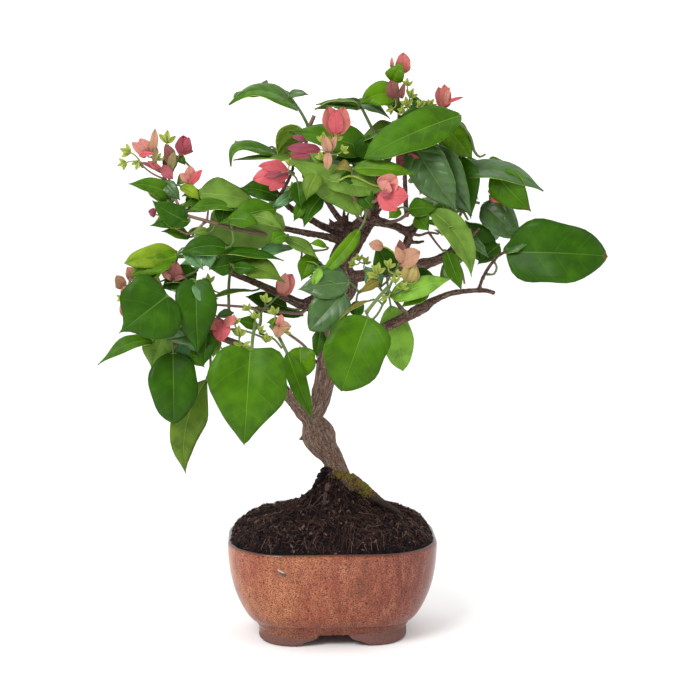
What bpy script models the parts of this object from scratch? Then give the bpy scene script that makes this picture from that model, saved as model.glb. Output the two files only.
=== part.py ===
"""A bougainvillea bonsai in its glazed pot: the solid pieces that carry, hold and shape it.

The layout is drawn in millimetres on the front elevation, the upright plane y = 0 through the trunk's
foot, with x to the right, z up from the surface the pot stands on and y away from the viewer. A point
with some depth is carried along its line from the eye, so the crown keeps the outline that is drawn
at any depth. All meshes are in metres.
"""

import math
import random

import bmesh
import bpy
from mathutils import Matrix, Vector

MM = 0.001
GAP = 0.30  # clearance between pieces that touch

# The eye that the front elevation is drawn from.
EYE = Vector((13.4, -1186.5, 388.0))

# Pot
RIM_Z = 72.0
RIM_HALF = (75.0, 58.0)
RIM_CORNER = 44.0
CORNER_SHRINK = 0.8  # how much of the wall's drawing in its corners lose
DEPTH_SHARE = 0.72  # how far the front draws in, for each millimetre at the side
WALL = 4.5
FLOOR_Z = 15.0
FOOT_HEIGHT = 8.0
FOOT_WALL = 9.0
FOOT_OVERLAP = 1.5
DRAIN_RADIUS = 6.0
POT_TURN = math.radians(2.5)
RING_POINTS = 28
# Height above the surface, and how far the wall has drawn in from the rim.
POT_PROFILE = [
    (FOOT_HEIGHT, 21.8),
    (13.0, 18.2),
    (17.5, 14.2),
    (25.0, 9.6),
    (35.0, 5.2),
    (45.0, 2.4),
    (55.0, 0.8),
    (RIM_Z - 1.5, 0.0),
    (RIM_Z, 1.2),
]
FOOT_DRAW_IN = 22.3
# Cloud-cut gaps between the feet: height, and half the gap's width there.
FRONT_GAP = [(-2.0, 27.0), (0.0, 25.5), (2.5, 21.5), (4.5, 15.0), (6.0, 12.0), (FOOT_HEIGHT, 11.0)]
SIDE_GAP = [(-2.0, 18.0), (0.0, 17.0), (2.5, 14.0), (4.5, 9.0), (6.0, 7.0), (FOOT_HEIGHT, 6.0)]

# Root ball and its mound
SOIL_EDGE_Z = 69.5
SOIL_SHOULDER = 13.0
MOUND_RISE = 40.0
MOUND_REACH = 18.0
MOUND_TOP_RADIUS = 5.0
MOUND_STEPS = 8

# Trunk: x, y, z of its middle, and its radius
TRUNK_CUT_Z = 103.0
TRUNK = [
    (9, 0, 96, 15.0),
    (8, 0, 106, 12.5),
    (5.5, 0, 114, 10.3),
    (2.5, 0, 124, 7.8),
    (-1, 0, 131, 8.4),
    (-6, -1, 138, 10.6),
    (-9.5, -2, 146, 12.4),
    (-12.5, -2, 153.5, 10.0),
    (-14, -2, 158.5, 7.0),
    (-10, 0, 166, 6.4),
    (-7.5, 2, 175, 7.6),
    (-5, 3, 188, 7.4),
    (-4, 4, 203, 6.6),
    (-2, 5, 220, 6.2),
    (1, 7, 234, 6.0),
    (6, 9, 244, 5.8),
    (12, 9, 251, 5.8),
    (13, 6, 258, 6.2),
    (9, 3, 265, 7.6),
    (7, 2, 273, 9.0),
    (11.5, 1, 283, 9.2),
    (18, 0, 293, 8.4),
    (25, 0, 302, 6.8),
]

# Surface roots, boughs and shoots, in the order in which each one yields to those before it.
LIMBS = {
    "surface_root_right": [
        (13, -2, 112, 7.5), (21, -4, 107.5, 6.4), (30, -6, 100, 5.0),
        (40, -8, 93, 3.4), (48, -9, 87.5, 2.2), (54, -10, 83.5, 1.2),
    ],
    "surface_root_left": [
        (0, -5, 113, 4.0), (-3, -12, 106, 3.0), (-5, -19, 99, 2.0), (-5, -25, 93.5, 1.2),
    ],
    "bough_left_low": [
        (-15, -2, 157, 5.0), (-21, -3, 162, 5.2), (-26, -5, 168, 4.4), (-31, -8, 174, 4.0),
        (-37, -11, 184, 3.6), (-48, -16, 199, 3.2), (-62, -21, 210, 2.9), (-75, -26, 216, 2.6),
        (-88, -31, 221, 2.3), (-100, -34, 229, 2.0),
    ],
    "bough_left_middle": [
        (9, 3, 260, 4.4), (0, 1, 256, 3.6), (-9, -3, 249, 3.4), (-17, -6, 243, 4.4),
        (-24, -7, 243, 3.6), (-40, -8, 251, 3.0), (-55, -8, 258, 2.6), (-70, -6, 264, 2.2),
        (-84, -4, 269, 1.8),
    ],
    "bough_left_upper_front": [
        (13, 0, 285, 4.2), (4, -2, 289, 3.2), (-8, -4, 292, 2.6), (-20, -6, 294, 2.4),
        (-34, -8, 297, 2.2), (-46, -10, 298, 2.0), (-60, -12, 299, 1.6),
    ],
    "bough_left_upper_back": [
        (15, 2, 292, 4.2), (6, 3, 294, 3.4), (-5, 5, 298, 2.8), (-14, 7, 303, 2.6),
        (-24, 8, 308, 2.5), (-33, 7, 315, 2.3), (-41, 4, 325, 2.0),
    ],
    "bough_top_left": [
        (17, 4, 298, 3.6), (9, 9, 301, 2.6), (2, 11, 309, 2.3), (-4, 11, 319, 2.1),
        (-8, 10, 332, 1.9), (-10, 8, 345, 1.7),
    ],
    "bough_top": [
        (26, 1, 302, 4.8), (31, 6, 314, 4.2), (35, 12, 330, 3.6), (40, 14, 346, 3.0),
        (46, 10, 360, 2.4),
    ],
    "bough_right_upper": [
        (26, 0, 303, 4.6), (36, 0, 301.5, 3.4), (46, 1, 298.5, 3.0), (56, 4, 295, 3.6),
        (64, 5, 303, 2.8), (70, 6, 314, 2.4), (76, 6, 326, 2.1),
    ],
    "bough_right_middle": [
        (10, 3, 261, 4.6), (22, 5, 263, 4.4), (40, 7, 266, 4.2), (60, 7, 269, 4.0),
        (78, 4, 275, 3.6), (88, 0, 281, 3.2),
    ],
    "bough_right_rising": [
        (51, 7, 267, 3.6), (51, 6, 276, 3.2), (54, 5, 286, 3.2), (57, 4, 294, 3.0),
    ],
    "bough_right_low": [
        (-3, 5, 206, 4.8), (12, 6, 212, 4.4), (26, 6, 219, 4.2), (40, 4, 226, 3.8),
        (54, 2, 233, 3.8), (66, 0, 240, 4.4), (74, -1, 245, 2.7), (86, -3, 250, 2.2),
        (100, -4, 252, 1.9), (112, -4, 252, 1.8), (118, -4, 250, 1.7),
    ],
    "shoot_centre_front": [(26, -3, 306, 2.6), (25, -16, 311, 2.2), (18, -38, 318, 1.8)],
    "shoot_top_left": [
        (-20, 7, 352, 1.5), (-16, 6, 366, 1.4), (-20, 5, 377, 1.2), (-28, 5, 389, 1.1),
    ],
    "shoot_far_right": [
        (106, -4, 252, 1.5), (109, -7, 261, 1.4), (114, -12, 270, 1.4), (121, -17, 278, 1.3),
        (130, -20, 281, 1.1),
    ],
    "shoot_right_blossom": [(56, 0, 234, 1.8), (49, -15, 241, 1.6), (43, -30, 250, 1.4)],
    "shoot_left_upright": [(-74, -30, 232, 1.2), (-74, -22, 255, 1.2), (-72, -12, 272, 1.0)],
    "stalk_heart_leaf": [(-55, -50, 228, 1.3), (-57, -70, 218, 1.2), (-58, -84, 206, 1.1)],
    "stalk_trunk_left_leaf": [(-44, -44, 227, 1.3), (-38, -47, 218, 1.2), (-31, -52, 204, 1.1)],
    "stalk_trunk_front_leaf": [(25, -66, 236, 1.3), (33, -62, 246, 1.2), (40, -56, 254, 1.2)],
}
FLAT_CUT = ("surface_root_right", "surface_root_left")
BOUGH_SIDES = 8
SHOOT_SIDES = 6
SHOOT_RADIUS = 2.0  # a limb that starts thinner than this is a shoot

# Masses of foliage: middle (x, y, z), half sizes (along, deep, high) and tilt in the front elevation.
MASSES = {
    "foliage_top_left": ((-44, 5, 393), (29, 24, 9.5), -3),
    "foliage_top_middle": ((14, 14, 384), (29, 26, 7.5), -6),
    "foliage_summit": ((44, 5, 395), (21, 24, 21), 0),
    "foliage_blossom_top_right": ((80, -1, 390), (13, 12, 10), 0),
    "foliage_upper_right": ((60, -16, 363), (36, 46, 19), 15),
    "foliage_upper_centre": ((-8, 2, 352), (36, 44, 16), 0),
    "foliage_reach_left": ((-55, -10, 348), (20, 20, 10), 0),
    "foliage_inner_left": ((-43, -12, 331), (15, 22, 12), 0),
    "foliage_centre_front": ((10, -60, 325), (36, 34, 16), 0),
    "foliage_pad_left": ((-87, -26, 307), (48, 56, 21), -2),
    "foliage_blossom_left": ((-119, -24, 345), (29, 20, 22), 0),
    "foliage_shelf_left": ((-71, -4, 275), (39, 32, 9.5), 0),
    "foliage_low_left": ((-120, -36, 240), (35, 44, 38), 0),
    "foliage_low_blossom": ((-60, -42, 228), (35, 30, 14), 0),
    "foliage_inner_front": ((-14, -24, 267), (22, 28, 17), 0),
    "foliage_middle_right": ((46, -46, 263), (34, 34, 19), 8),
    "foliage_inner_right": ((90, -16, 287), (25, 36, 25), 0),
    "foliage_shoulder_right": ((84, 2, 331), (27, 40, 25), 0),
    "foliage_arm_right": ((124, 6, 317), (28, 30, 27), 0),
    "foliage_back_left": ((-78, 68, 304), (38, 52, 16), 0),
    "foliage_back_centre": ((0, 76, 340), (42, 52, 20), 0),
    "foliage_back_right": ((72, 76, 338), (34, 46, 20), 0),
    "foliage_back_low_left": ((-104, 44, 240), (26, 50, 24), 0),
    "foliage_back_low_right": ((86, 56, 288), (24, 42, 18), 0),
}
# Pads of foliage about one big leaf: foot and tip (x, z), depth y, and half its width and thickness.
PADS = {
    "foliage_heart_leaf": ((-59, 211), (-64, 137), -90, 28.5, 9),
    "foliage_hanging_left": ((-114, 211), (-115, 151), -58, 17, 13),
    "foliage_hanging_right": ((-98, 197), (-110, 117), -44, 16, 13),
    "foliage_tip_left": ((-131, 220), (-171, 196), -40, 9, 10),
    "foliage_trunk_left": ((-34, 210), (-14, 156), -58, 12, 10),
    "foliage_trunk_front": ((26, 245), (6, 177), -70, 24, 11),
    "foliage_trunk_inner": ((21, 254), (-18, 220), -36, 18, 11),
    "foliage_behind_bough": ((42, 246), (53, 192), 12, 15, 12),
    "foliage_leaf_far_right": ((124, 281), (203, 278), -22, 25, 10),
}
# A pad's outline: share of its length, and share of its half width there.
PAD_OUTLINE = [
    (0.0, 0.22), (0.07, 0.66), (0.2, 0.96), (0.36, 1.0), (0.56, 0.84), (0.75, 0.52), (0.9, 0.22), (1.0, 0.05),
]
PAD_SIDES = 8
# Foliage that is cut round a bough which runs on past it.
CUT_ROUND = {
    "foliage_behind_bough": ("bough_right_low",),
    "foliage_inner_front": ("bough_left_middle", "bough_left_upper_front"),
    "foliage_back_low_right": ("bough_right_upper",),
    "foliage_middle_right": ("bough_right_middle", "bough_right_rising"),
}
MASS_SEGMENTS = 10
MASS_RINGS = 7
UNEVEN = 0.07  # share by which a mass swells and shrinks

COLOURS = {
    "glaze": ((0.38, 0.13, 0.07), 0.25),
    "soil": ((0.03, 0.02, 0.015), 0.95),
    "bark": ((0.16, 0.10, 0.07), 0.85),
    "leaf": ((0.07, 0.22, 0.03), 0.45),
}


def carried(x, y, z):
    """A point of the front elevation, moved to depth y along its line from the eye, in metres."""
    flat = Vector((x, 0.0, z))
    return (EYE + (flat - EYE) * (1.0 + y / -EYE.y)) * MM


def material(name):
    """The Principled material of that name, made once."""
    found = bpy.data.materials.get(name)
    if found:
        return found
    colour, roughness = COLOURS[name]
    made = bpy.data.materials.new(name)
    made.use_nodes = True
    shader = made.node_tree.nodes["Principled BSDF"]
    shader.inputs["Base Color"].default_value = (*colour, 1.0)
    shader.inputs["Roughness"].default_value = roughness
    shader.inputs["Metallic"].default_value = 0.0
    return made


def new_object(name, mesh, material_name, collection):
    """An object of this mesh in the collection, with its one material."""
    made = bpy.data.objects.new(name, mesh)
    mesh.materials.append(material(material_name))
    collection.objects.link(made)
    return made


def mesh_from(shape, name):
    """A Blender mesh from a finished bmesh, smooth but for its sharp edges."""
    mesh = bpy.data.meshes.new(name)
    shape.to_mesh(mesh)
    shape.free()
    mesh.shade_smooth()
    mesh.set_sharp_from_angle(angle=math.radians(40))
    return mesh


def ring(half_x, half_y, corner, z, turn=POT_TURN):
    """Points of a rounded rectangle, anticlockwise from the middle of its right side, in mm."""
    corner = min(corner, half_x, half_y)
    points = []
    per_corner = RING_POINTS // 4
    for quarter in range(4):
        sign_x = 1 if quarter in (0, 3) else -1
        sign_y = 1 if quarter in (0, 1) else -1
        middle = Vector((sign_x * (half_x - corner), sign_y * (half_y - corner), 0))
        for step in range(per_corner):
            angle = math.pi / 2 * (quarter + (step + 0.5) / per_corner)
            points.append(middle + Vector((math.cos(angle), math.sin(angle), 0)) * corner)
    spin = Matrix.Rotation(turn, 3, "Z")
    return [spin @ point + Vector((0, 0, z)) for point in points]


def pot_ring(draw_in, z):
    """The pot's outline where its wall has drawn in that far from the rim."""
    corner = RIM_CORNER - CORNER_SHRINK * draw_in
    return ring(RIM_HALF[0] - draw_in, RIM_HALF[1] - draw_in * DEPTH_SHARE, corner, z)


def loft(rings):
    """A closed skin through rings of as many points each, capped at both ends. Rings are in mm."""
    shape = bmesh.new()
    rows = [[shape.verts.new(point * MM) for point in points] for points in rings]
    for low, high in zip(rows, rows[1:]):
        for i in range(len(low)):
            j = (i + 1) % len(low)
            shape.faces.new((low[i], low[j], high[j], high[i]))
    shape.faces.new(list(reversed(rows[0])))
    shape.faces.new(rows[-1])
    bmesh.ops.recalc_face_normals(shape, faces=shape.faces)
    return shape


def inflated(source, amount, cutters):
    """A cutter: the object's shape with every point moved out along its normal, in mm."""
    shape = bmesh.new()
    shape.from_mesh(source.data)
    shape.normal_update()
    for vert in shape.verts:
        vert.co += vert.normal * amount * MM
    mesh = bpy.data.meshes.new("cutter_" + source.name)
    shape.to_mesh(mesh)
    shape.free()
    cutter = bpy.data.objects.new("cutter_" + source.name, mesh)
    cutter.hide_render = True
    cutter.display_type = "WIRE"
    cutters.objects.link(cutter)
    return cutter


def largest_piece(shape):
    """Deletes every separate piece of a bmesh but the one with the most volume."""
    left = set(shape.verts)
    pieces = []
    while left:
        todo = [left.pop()]
        piece = set(todo)
        while todo:
            for edge in todo.pop().link_edges:
                for vert in edge.verts:
                    if vert in left:
                        left.remove(vert)
                        piece.add(vert)
                        todo.append(vert)
        pieces.append(piece)
    if len(pieces) > 1:
        def volume(piece):
            faces = {face for vert in piece for face in vert.link_faces}
            return sum(face.calc_area() * face.normal.dot(face.calc_center_median()) for face in faces)
        kept = max(pieces, key=volume)
        extra = [vert for piece in pieces if piece is not kept for vert in piece]
        bmesh.ops.delete(shape, geom=extra, context="VERTS")


def apply_boolean(target, cutter, operation="DIFFERENCE"):
    """Joins or cuts target with cutter, and keeps its largest piece."""
    modifier = target.modifiers.new(operation.lower(), "BOOLEAN")
    modifier.operation = operation
    modifier.object = cutter
    bpy.context.view_layer.update()
    graph = bpy.context.evaluated_depsgraph_get()
    result = bpy.data.meshes.new_from_object(target.evaluated_get(graph))
    target.modifiers.clear()
    shape = bmesh.new()
    shape.from_mesh(result)
    bmesh.ops.remove_doubles(shape, verts=shape.verts, dist=0.02 * MM)
    bmesh.ops.dissolve_degenerate(shape, edges=shape.edges, dist=0.02 * MM)
    largest_piece(shape)
    shape.to_mesh(result)
    shape.free()
    target.data = result


def box_of(obj):
    points = [vert.co for vert in obj.data.vertices]
    low = Vector([min(p[i] for p in points) for i in range(3)])
    high = Vector([max(p[i] for p in points) for i in range(3)])
    return low, high


def near(first, second):
    """Whether the boxes of two objects come within the gap of each other."""
    low_a, high_a = box_of(first)
    low_b, high_b = box_of(second)
    return all(low_a[i] - GAP * MM < high_b[i] and low_b[i] - GAP * MM < high_a[i] for i in range(3))


def gap_cutter(profile, length, along_x):
    """A cutter for the gap between two feet, narrowing upwards by its profile, in mm."""
    rings = [
        [Vector((side * half, end * length, z)) for side, end in ((1, -1), (1, 1), (-1, 1), (-1, -1))]
        for z, half in profile
    ]
    shape = loft(rings)
    turn = POT_TURN + (math.pi / 2 if along_x else 0.0)
    bmesh.ops.rotate(shape, matrix=Matrix.Rotation(turn, 3, "Z"), verts=shape.verts)
    return mesh_from(shape, "gap")


def add_cutter(name, mesh, cutters):
    cutter = bpy.data.objects.new(name, mesh)
    cutter.hide_render = True
    cutter.display_type = "WIRE"
    cutters.objects.link(cutter)
    return cutter


def make_pot(parts, cutters):
    """A bulging bowl with four cloud-cut feet and a drain hole."""
    outside = [pot_ring(draw_in, z) for z, draw_in in POT_PROFILE]
    inside = [
        pot_ring(draw_in + WALL, z)
        for z, draw_in in reversed(POT_PROFILE)
        if z > FLOOR_Z + 3.0
    ]
    inside.append(pot_ring(18.0 + WALL, FLOOR_Z))
    bowl = new_object("pot", mesh_from(loft(outside + inside), "pot"), "glaze", parts)

    inner_draw = FOOT_DRAW_IN + FOOT_WALL
    foot_rings = [
        pot_ring(FOOT_DRAW_IN + 1.6, 0.0),
        pot_ring(FOOT_DRAW_IN, 2.0),
        pot_ring(FOOT_DRAW_IN, FOOT_HEIGHT + FOOT_OVERLAP),
        pot_ring(inner_draw, FOOT_HEIGHT + FOOT_OVERLAP),
        pot_ring(inner_draw, 0.0),
    ]
    shape = loft(foot_rings)
    caps = [face for face in shape.faces if len(face.verts) > 4]
    bmesh.ops.delete(shape, geom=caps, context="FACES_ONLY")
    shape.verts.ensure_lookup_table()
    count = RING_POINTS
    first, last = shape.verts[:count], shape.verts[-count:]
    for i in range(count):
        j = (i + 1) % count
        shape.faces.new((first[i], last[i], last[j], first[j]))
    bmesh.ops.recalc_face_normals(shape, faces=shape.faces)
    feet = add_cutter("foot_ring", mesh_from(shape, "foot_ring"), cutters)
    for name, profile, along_x in (("front", FRONT_GAP, False), ("side", SIDE_GAP, True)):
        cutter = add_cutter("gap_" + name, gap_cutter(profile, 2 * RIM_HALF[0], along_x), cutters)
        bpy.context.view_layer.update()
        cut_keeping_all(feet, cutter)
    apply_boolean(bowl, feet, "UNION")

    drain = bmesh.new()
    bmesh.ops.create_cone(
        drain, cap_ends=True, segments=20, radius1=DRAIN_RADIUS * MM, radius2=DRAIN_RADIUS * MM,
        depth=4 * FLOOR_Z * MM,
    )
    apply_boolean(bowl, add_cutter("drain", mesh_from(drain, "drain"), cutters))
    return bowl


def cut_keeping_all(target, cutter):
    """Cuts target with cutter and keeps all of its pieces."""
    modifier = target.modifiers.new("cut", "BOOLEAN")
    modifier.operation = "DIFFERENCE"
    modifier.object = cutter
    bpy.context.view_layer.update()
    graph = bpy.context.evaluated_depsgraph_get()
    target.data = bpy.data.meshes.new_from_object(target.evaluated_get(graph))
    target.modifiers.clear()


def mound_height(x, y, share):
    """Height of the root ball's surface, where share is 0 in its middle and 1 at the pot's wall."""
    away = max(math.hypot(x, y), MOUND_TOP_RADIUS)
    shoulder = SOIL_SHOULDER * (1.0 - share**6)
    lumps = 0.9 * math.sin(0.23 * x + 1.0) * math.sin(0.31 * y + 0.4) * (1.0 - share)
    return SOIL_EDGE_Z + shoulder + MOUND_RISE * math.exp(-away / MOUND_REACH) * (1 - share**8) + lumps


def make_soil(parts):
    """The root ball: it fills the pot and rises in a mound to the trunk's foot."""
    rings = [pot_ring(18.0 + WALL + GAP, FLOOR_Z + GAP)]
    for z, draw_in in POT_PROFILE:
        if FLOOR_Z + 3.0 < z < SOIL_EDGE_Z:
            rings.append(pot_ring(draw_in + WALL + GAP, z))
    edge = pot_ring(WALL + GAP, SOIL_EDGE_Z)
    rings.append(edge)
    for step in range(MOUND_STEPS):
        share = 0.94 * (1.0 - step / MOUND_STEPS) ** 1.3
        rings.append(
            [
                Vector((p.x * share, p.y * share, mound_height(p.x * share, p.y * share, share)))
                for p in edge
            ]
        )
    return new_object("soil", mesh_from(loft(rings), "soil"), "soil", parts)


def make_limb(name, path, parts, steps=2):
    """A tapering limb along a smooth curve, with so many steps between two points, as a closed mesh."""
    sides = BOUGH_SIDES if path[0][3] > SHOOT_RADIUS else SHOOT_SIDES
    curve = bpy.data.curves.new(name, "CURVE")
    curve.dimensions = "3D"
    curve.bevel_depth = 1.0 * MM
    curve.bevel_resolution = (sides - 4) // 2
    curve.use_fill_caps = True
    curve.resolution_u = steps
    spline = curve.splines.new("BEZIER")
    spline.bezier_points.add(len(path) - 1)
    for point, (x, y, z, radius) in zip(spline.bezier_points, path):
        point.co = carried(x, y, z)
        point.handle_left_type = point.handle_right_type = "AUTO"
        point.radius = radius
    guide = bpy.data.objects.new(name + "_guide", curve)
    parts.objects.link(guide)
    bpy.context.view_layer.update()
    graph = bpy.context.evaluated_depsgraph_get()
    mesh = bpy.data.meshes.new_from_object(guide.evaluated_get(graph))
    bpy.data.objects.remove(guide)
    bpy.data.curves.remove(curve)
    shape = bmesh.new()
    shape.from_mesh(mesh)
    bmesh.ops.remove_doubles(shape, verts=shape.verts, dist=0.01 * MM)
    bmesh.ops.recalc_face_normals(shape, faces=shape.faces)
    return new_object(name, mesh_from(shape, name), "bark", parts)


def make_trunk(parts):
    """The trunk, cut flat at ground level."""
    trunk = make_limb("trunk", TRUNK, parts, steps=1)
    shape = bmesh.new()
    shape.from_mesh(trunk.data)
    cut_flat(shape, Vector((0, 0, TRUNK_CUT_Z * MM)), Vector((0, 0, 1)))
    shape.to_mesh(trunk.data)
    shape.free()
    return trunk


def cut_flat(shape, point, normal):
    """Clears what lies behind the plane and closes the cut with a flat face."""
    geometry = shape.verts[:] + shape.edges[:] + shape.faces[:]
    result = bmesh.ops.bisect_plane(
        shape, geom=geometry, plane_co=point, plane_no=normal, clear_inner=True
    )
    edges = [item for item in result["geom_cut"] if isinstance(item, bmesh.types.BMEdge)]
    if edges:
        bmesh.ops.holes_fill(shape, edges=edges, sides=0)
        bmesh.ops.recalc_face_normals(shape, faces=shape.faces)


def frame_of(half, tilt):
    """The rotation of a mass, and the square of its half sizes as a matrix, in mm."""
    spin = Matrix.Rotation(-math.radians(tilt), 3, "Y")
    squares = Matrix.Diagonal(Vector(half)) @ Matrix.Diagonal(Vector(half))
    return spin, spin @ squares @ spin.transposed()


def make_mass(name, number, parts):
    """One uneven, closed mass of leaves."""
    middle, half, tilt = MASSES[name]
    spin, _ = frame_of(half, tilt)
    centre = carried(*middle)
    dice = random.Random(number)
    waves = [
        (Vector((dice.uniform(-1, 1), dice.uniform(-1, 1), dice.uniform(-1, 1))), dice.uniform(0, 6.28))
        for _ in range(4)
    ]
    shape = bmesh.new()
    bmesh.ops.create_uvsphere(shape, u_segments=MASS_SEGMENTS, v_segments=MASS_RINGS, radius=1.0)
    for vert in shape.verts:
        swell = 1.0 + UNEVEN * sum(
            math.sin(5.0 * vert.co.dot(direction) + phase) for direction, phase in waves
        ) / 2.0
        local = Vector([vert.co[i] * half[i] * MM for i in range(3)]) * swell
        vert.co = centre + spin @ local
    return new_object(name, mesh_from(shape, name), "leaf", parts)


def pad_as_mass(name):
    """The middle, half sizes and tilt of the mass that a pad of foliage fills."""
    (foot_x, foot_z), (tip_x, tip_z), depth, half_width, half_depth = PADS[name]
    middle = ((foot_x + tip_x) / 2, depth, (foot_z + tip_z) / 2)
    half = (math.hypot(tip_x - foot_x, tip_z - foot_z) / 2, half_depth, half_width)
    return middle, half, math.degrees(math.atan2(tip_z - foot_z, tip_x - foot_x))


def make_pad(name, parts):
    """A leaf-shaped pad of foliage, thickest along its middle."""
    (foot_x, foot_z), (tip_x, tip_z), depth, half_width, half_depth = PADS[name]
    along = Vector((tip_x - foot_x, 0, tip_z - foot_z))
    across = Vector((-along.z, 0, along.x)).normalized()
    rings = []
    for share, width in PAD_OUTLINE:
        middle = carried(foot_x + along.x * share, depth, foot_z + along.z * share) / MM
        points = []
        for step in range(PAD_SIDES):
            angle = 2 * math.pi * step / PAD_SIDES
            out = across * math.cos(angle) * half_width * width
            points.append(middle + out + Vector((0, math.sin(angle) * half_depth * width**0.7, 0)))
        rings.append(points)
    return new_object(name, mesh_from(loft(rings), name), "leaf", parts)


def part_masses(masses):
    """Cuts each pair of masses that meet along a plane between them."""
    forms = {name: MASSES.get(name) or pad_as_mass(name) for name in masses}
    names = list(masses)
    for i, first in enumerate(names):
        for second in names[i + 1 :]:
            middle_a, half_a, tilt_a = forms[first]
            middle_b, half_b, tilt_b = forms[second]
            centre_a, centre_b = carried(*middle_a) / MM, carried(*middle_b) / MM
            _, square_a = frame_of(half_a, tilt_a)
            _, square_b = frame_of(half_b, tilt_b)
            total = Matrix([[square_a[r][c] + square_b[r][c] for c in range(3)] for r in range(3)])
            normal = (total.inverted() @ (centre_b - centre_a)).normalized()
            reach_a = math.sqrt(normal.dot(square_a @ normal))
            reach_b = math.sqrt(normal.dot(square_b @ normal))
            apart = normal.dot(centre_b - centre_a)
            if apart > (reach_a + reach_b) * (1.0 + UNEVEN * 2.0):
                continue
            plane = centre_a + normal * apart * reach_a / (reach_a + reach_b)
            for name, side in ((first, -1.0), (second, 1.0)):
                shape = bmesh.new()
                shape.from_mesh(masses[name].data)
                cut_flat(shape, (plane + normal * side * GAP / 2) * MM, normal * side)
                bmesh.ops.dissolve_degenerate(shape, edges=shape.edges, dist=0.05 * MM)
                shape.to_mesh(masses[name].data)
                shape.free()


def centre_on_origin(objects):
    """Moves everything so that the middle of the box's base is at the origin."""
    boxes = [box_of(obj) for obj in objects]
    low = [min(box[0][i] for box in boxes) for i in range(3)]
    high = [max(box[1][i] for box in boxes) for i in range(3)]
    shift = Vector((-(low[0] + high[0]) / 2, -(low[1] + high[1]) / 2, -low[2]))
    for obj in objects:
        obj.data.transform(Matrix.Translation(shift))


def main():
    for obj in list(bpy.data.objects):
        bpy.data.objects.remove(obj)
    parts = bpy.data.collections.new("bougainvillea_bonsai")
    cutters = bpy.data.collections.new("cutters")
    for collection in (parts, cutters):
        bpy.context.scene.collection.children.link(collection)

    pot = make_pot(parts, cutters)
    soil = make_soil(parts)
    trunk = make_trunk(parts)
    limbs = {name: make_limb(name, path, parts) for name, path in LIMBS.items()}
    masses = {name: make_mass(name, number, parts) for number, name in enumerate(MASSES)}
    masses.update({name: make_pad(name, parts) for name in PADS})
    part_masses(masses)

    def yields(target, others):
        for other in others:
            if near(target, other):
                apply_boolean(target, inflated(other, GAP, cutters))

    yields(soil, [trunk])
    done = [trunk]
    for name, limb in limbs.items():
        yields(limb, done)
        done.append(limb)
    for name, mass in masses.items():
        yields(mass, [trunk] + [limbs[other] for other in CUT_ROUND.get(name, ())])
    for name, limb in limbs.items():
        round_it = [mass for mass in masses if name in CUT_ROUND.get(mass, ())]
        yields(limb, [mass for key, mass in masses.items() if key not in round_it])
    yields(soil, [limbs[name] for name in FLAT_CUT])
    centre_on_origin([pot, soil, trunk, *limbs.values(), *masses.values()])


main()
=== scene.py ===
# %% [markdown]
# # A bougainvillea bonsai in its glazed pot
#
# The real thing is a small tree, about 345 mm high above its pot: a twisted trunk with a few boughs, green
# shoots, large soft leaves, and papery coloured bracts in threes round tiny tube flowers. It stands in a
# mound of potting soil in a bulging stoneware pot on four feet. We load the plain solids that fix every size
# and place, and put a detailed piece over each of them.

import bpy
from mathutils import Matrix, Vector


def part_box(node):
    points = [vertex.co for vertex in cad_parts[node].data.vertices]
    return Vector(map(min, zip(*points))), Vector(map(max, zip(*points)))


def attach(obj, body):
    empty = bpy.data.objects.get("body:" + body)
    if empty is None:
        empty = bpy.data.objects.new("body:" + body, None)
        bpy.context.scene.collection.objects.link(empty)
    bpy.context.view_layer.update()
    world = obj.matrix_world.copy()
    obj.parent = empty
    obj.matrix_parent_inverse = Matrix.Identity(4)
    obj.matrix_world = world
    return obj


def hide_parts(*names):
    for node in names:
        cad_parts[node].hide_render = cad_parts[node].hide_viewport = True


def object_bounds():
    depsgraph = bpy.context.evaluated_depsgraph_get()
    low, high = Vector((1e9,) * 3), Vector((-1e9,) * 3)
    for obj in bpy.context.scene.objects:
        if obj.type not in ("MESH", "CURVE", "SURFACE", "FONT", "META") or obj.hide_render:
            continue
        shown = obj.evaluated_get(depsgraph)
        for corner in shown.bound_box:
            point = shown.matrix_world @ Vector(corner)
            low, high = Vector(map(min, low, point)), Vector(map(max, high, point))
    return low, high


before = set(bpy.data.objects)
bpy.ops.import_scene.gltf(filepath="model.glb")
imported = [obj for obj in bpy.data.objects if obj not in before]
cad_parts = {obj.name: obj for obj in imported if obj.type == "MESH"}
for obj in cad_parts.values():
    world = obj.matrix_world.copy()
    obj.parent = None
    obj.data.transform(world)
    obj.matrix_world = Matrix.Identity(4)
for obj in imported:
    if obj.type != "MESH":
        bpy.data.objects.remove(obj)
cad_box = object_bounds()
print("box of the plain solids, mm:", [[round(v * 1000, 1) for v in corner] for corner in cad_box])

# %% [markdown]
# ## The drawing board
#
# The tree is drawn in millimetres on a front elevation: x to the right, z up from the table, and the pot's
# middle at x = 0. A depth y moves a point along its line from the eye, towards the eye when y is negative. So
# the outline that is drawn stays the same at any depth, and leaves can be spread through the whole crown.

# %% Points on the drawing board
import math
import random

import bpy
import numpy as np
from mathutils import Matrix, Vector, kdtree, noise

MM = 0.001
EYE = np.array((13.4, -1186.5, 388.0))
UP = np.array((0.0, 0.0, 1.0))
pot_low, pot_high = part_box("pot")
POT_MIDDLE = np.array(((pot_low.x + pot_high.x) / 2, (pot_low.y + pot_high.y) / 2, 0.0)) / MM


def carried(x, z, y=0.0):
    """A point of the front elevation, carried to depth y along its line from the eye."""
    return EYE + (np.array((x, 0.0, z)) - EYE) * (1.0 - y / EYE[1])


def in_metres(points):
    """Millimetres from the pot's middle, as metres in the frame."""
    return (np.asarray(points, float) + POT_MIDDLE) * MM


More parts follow.
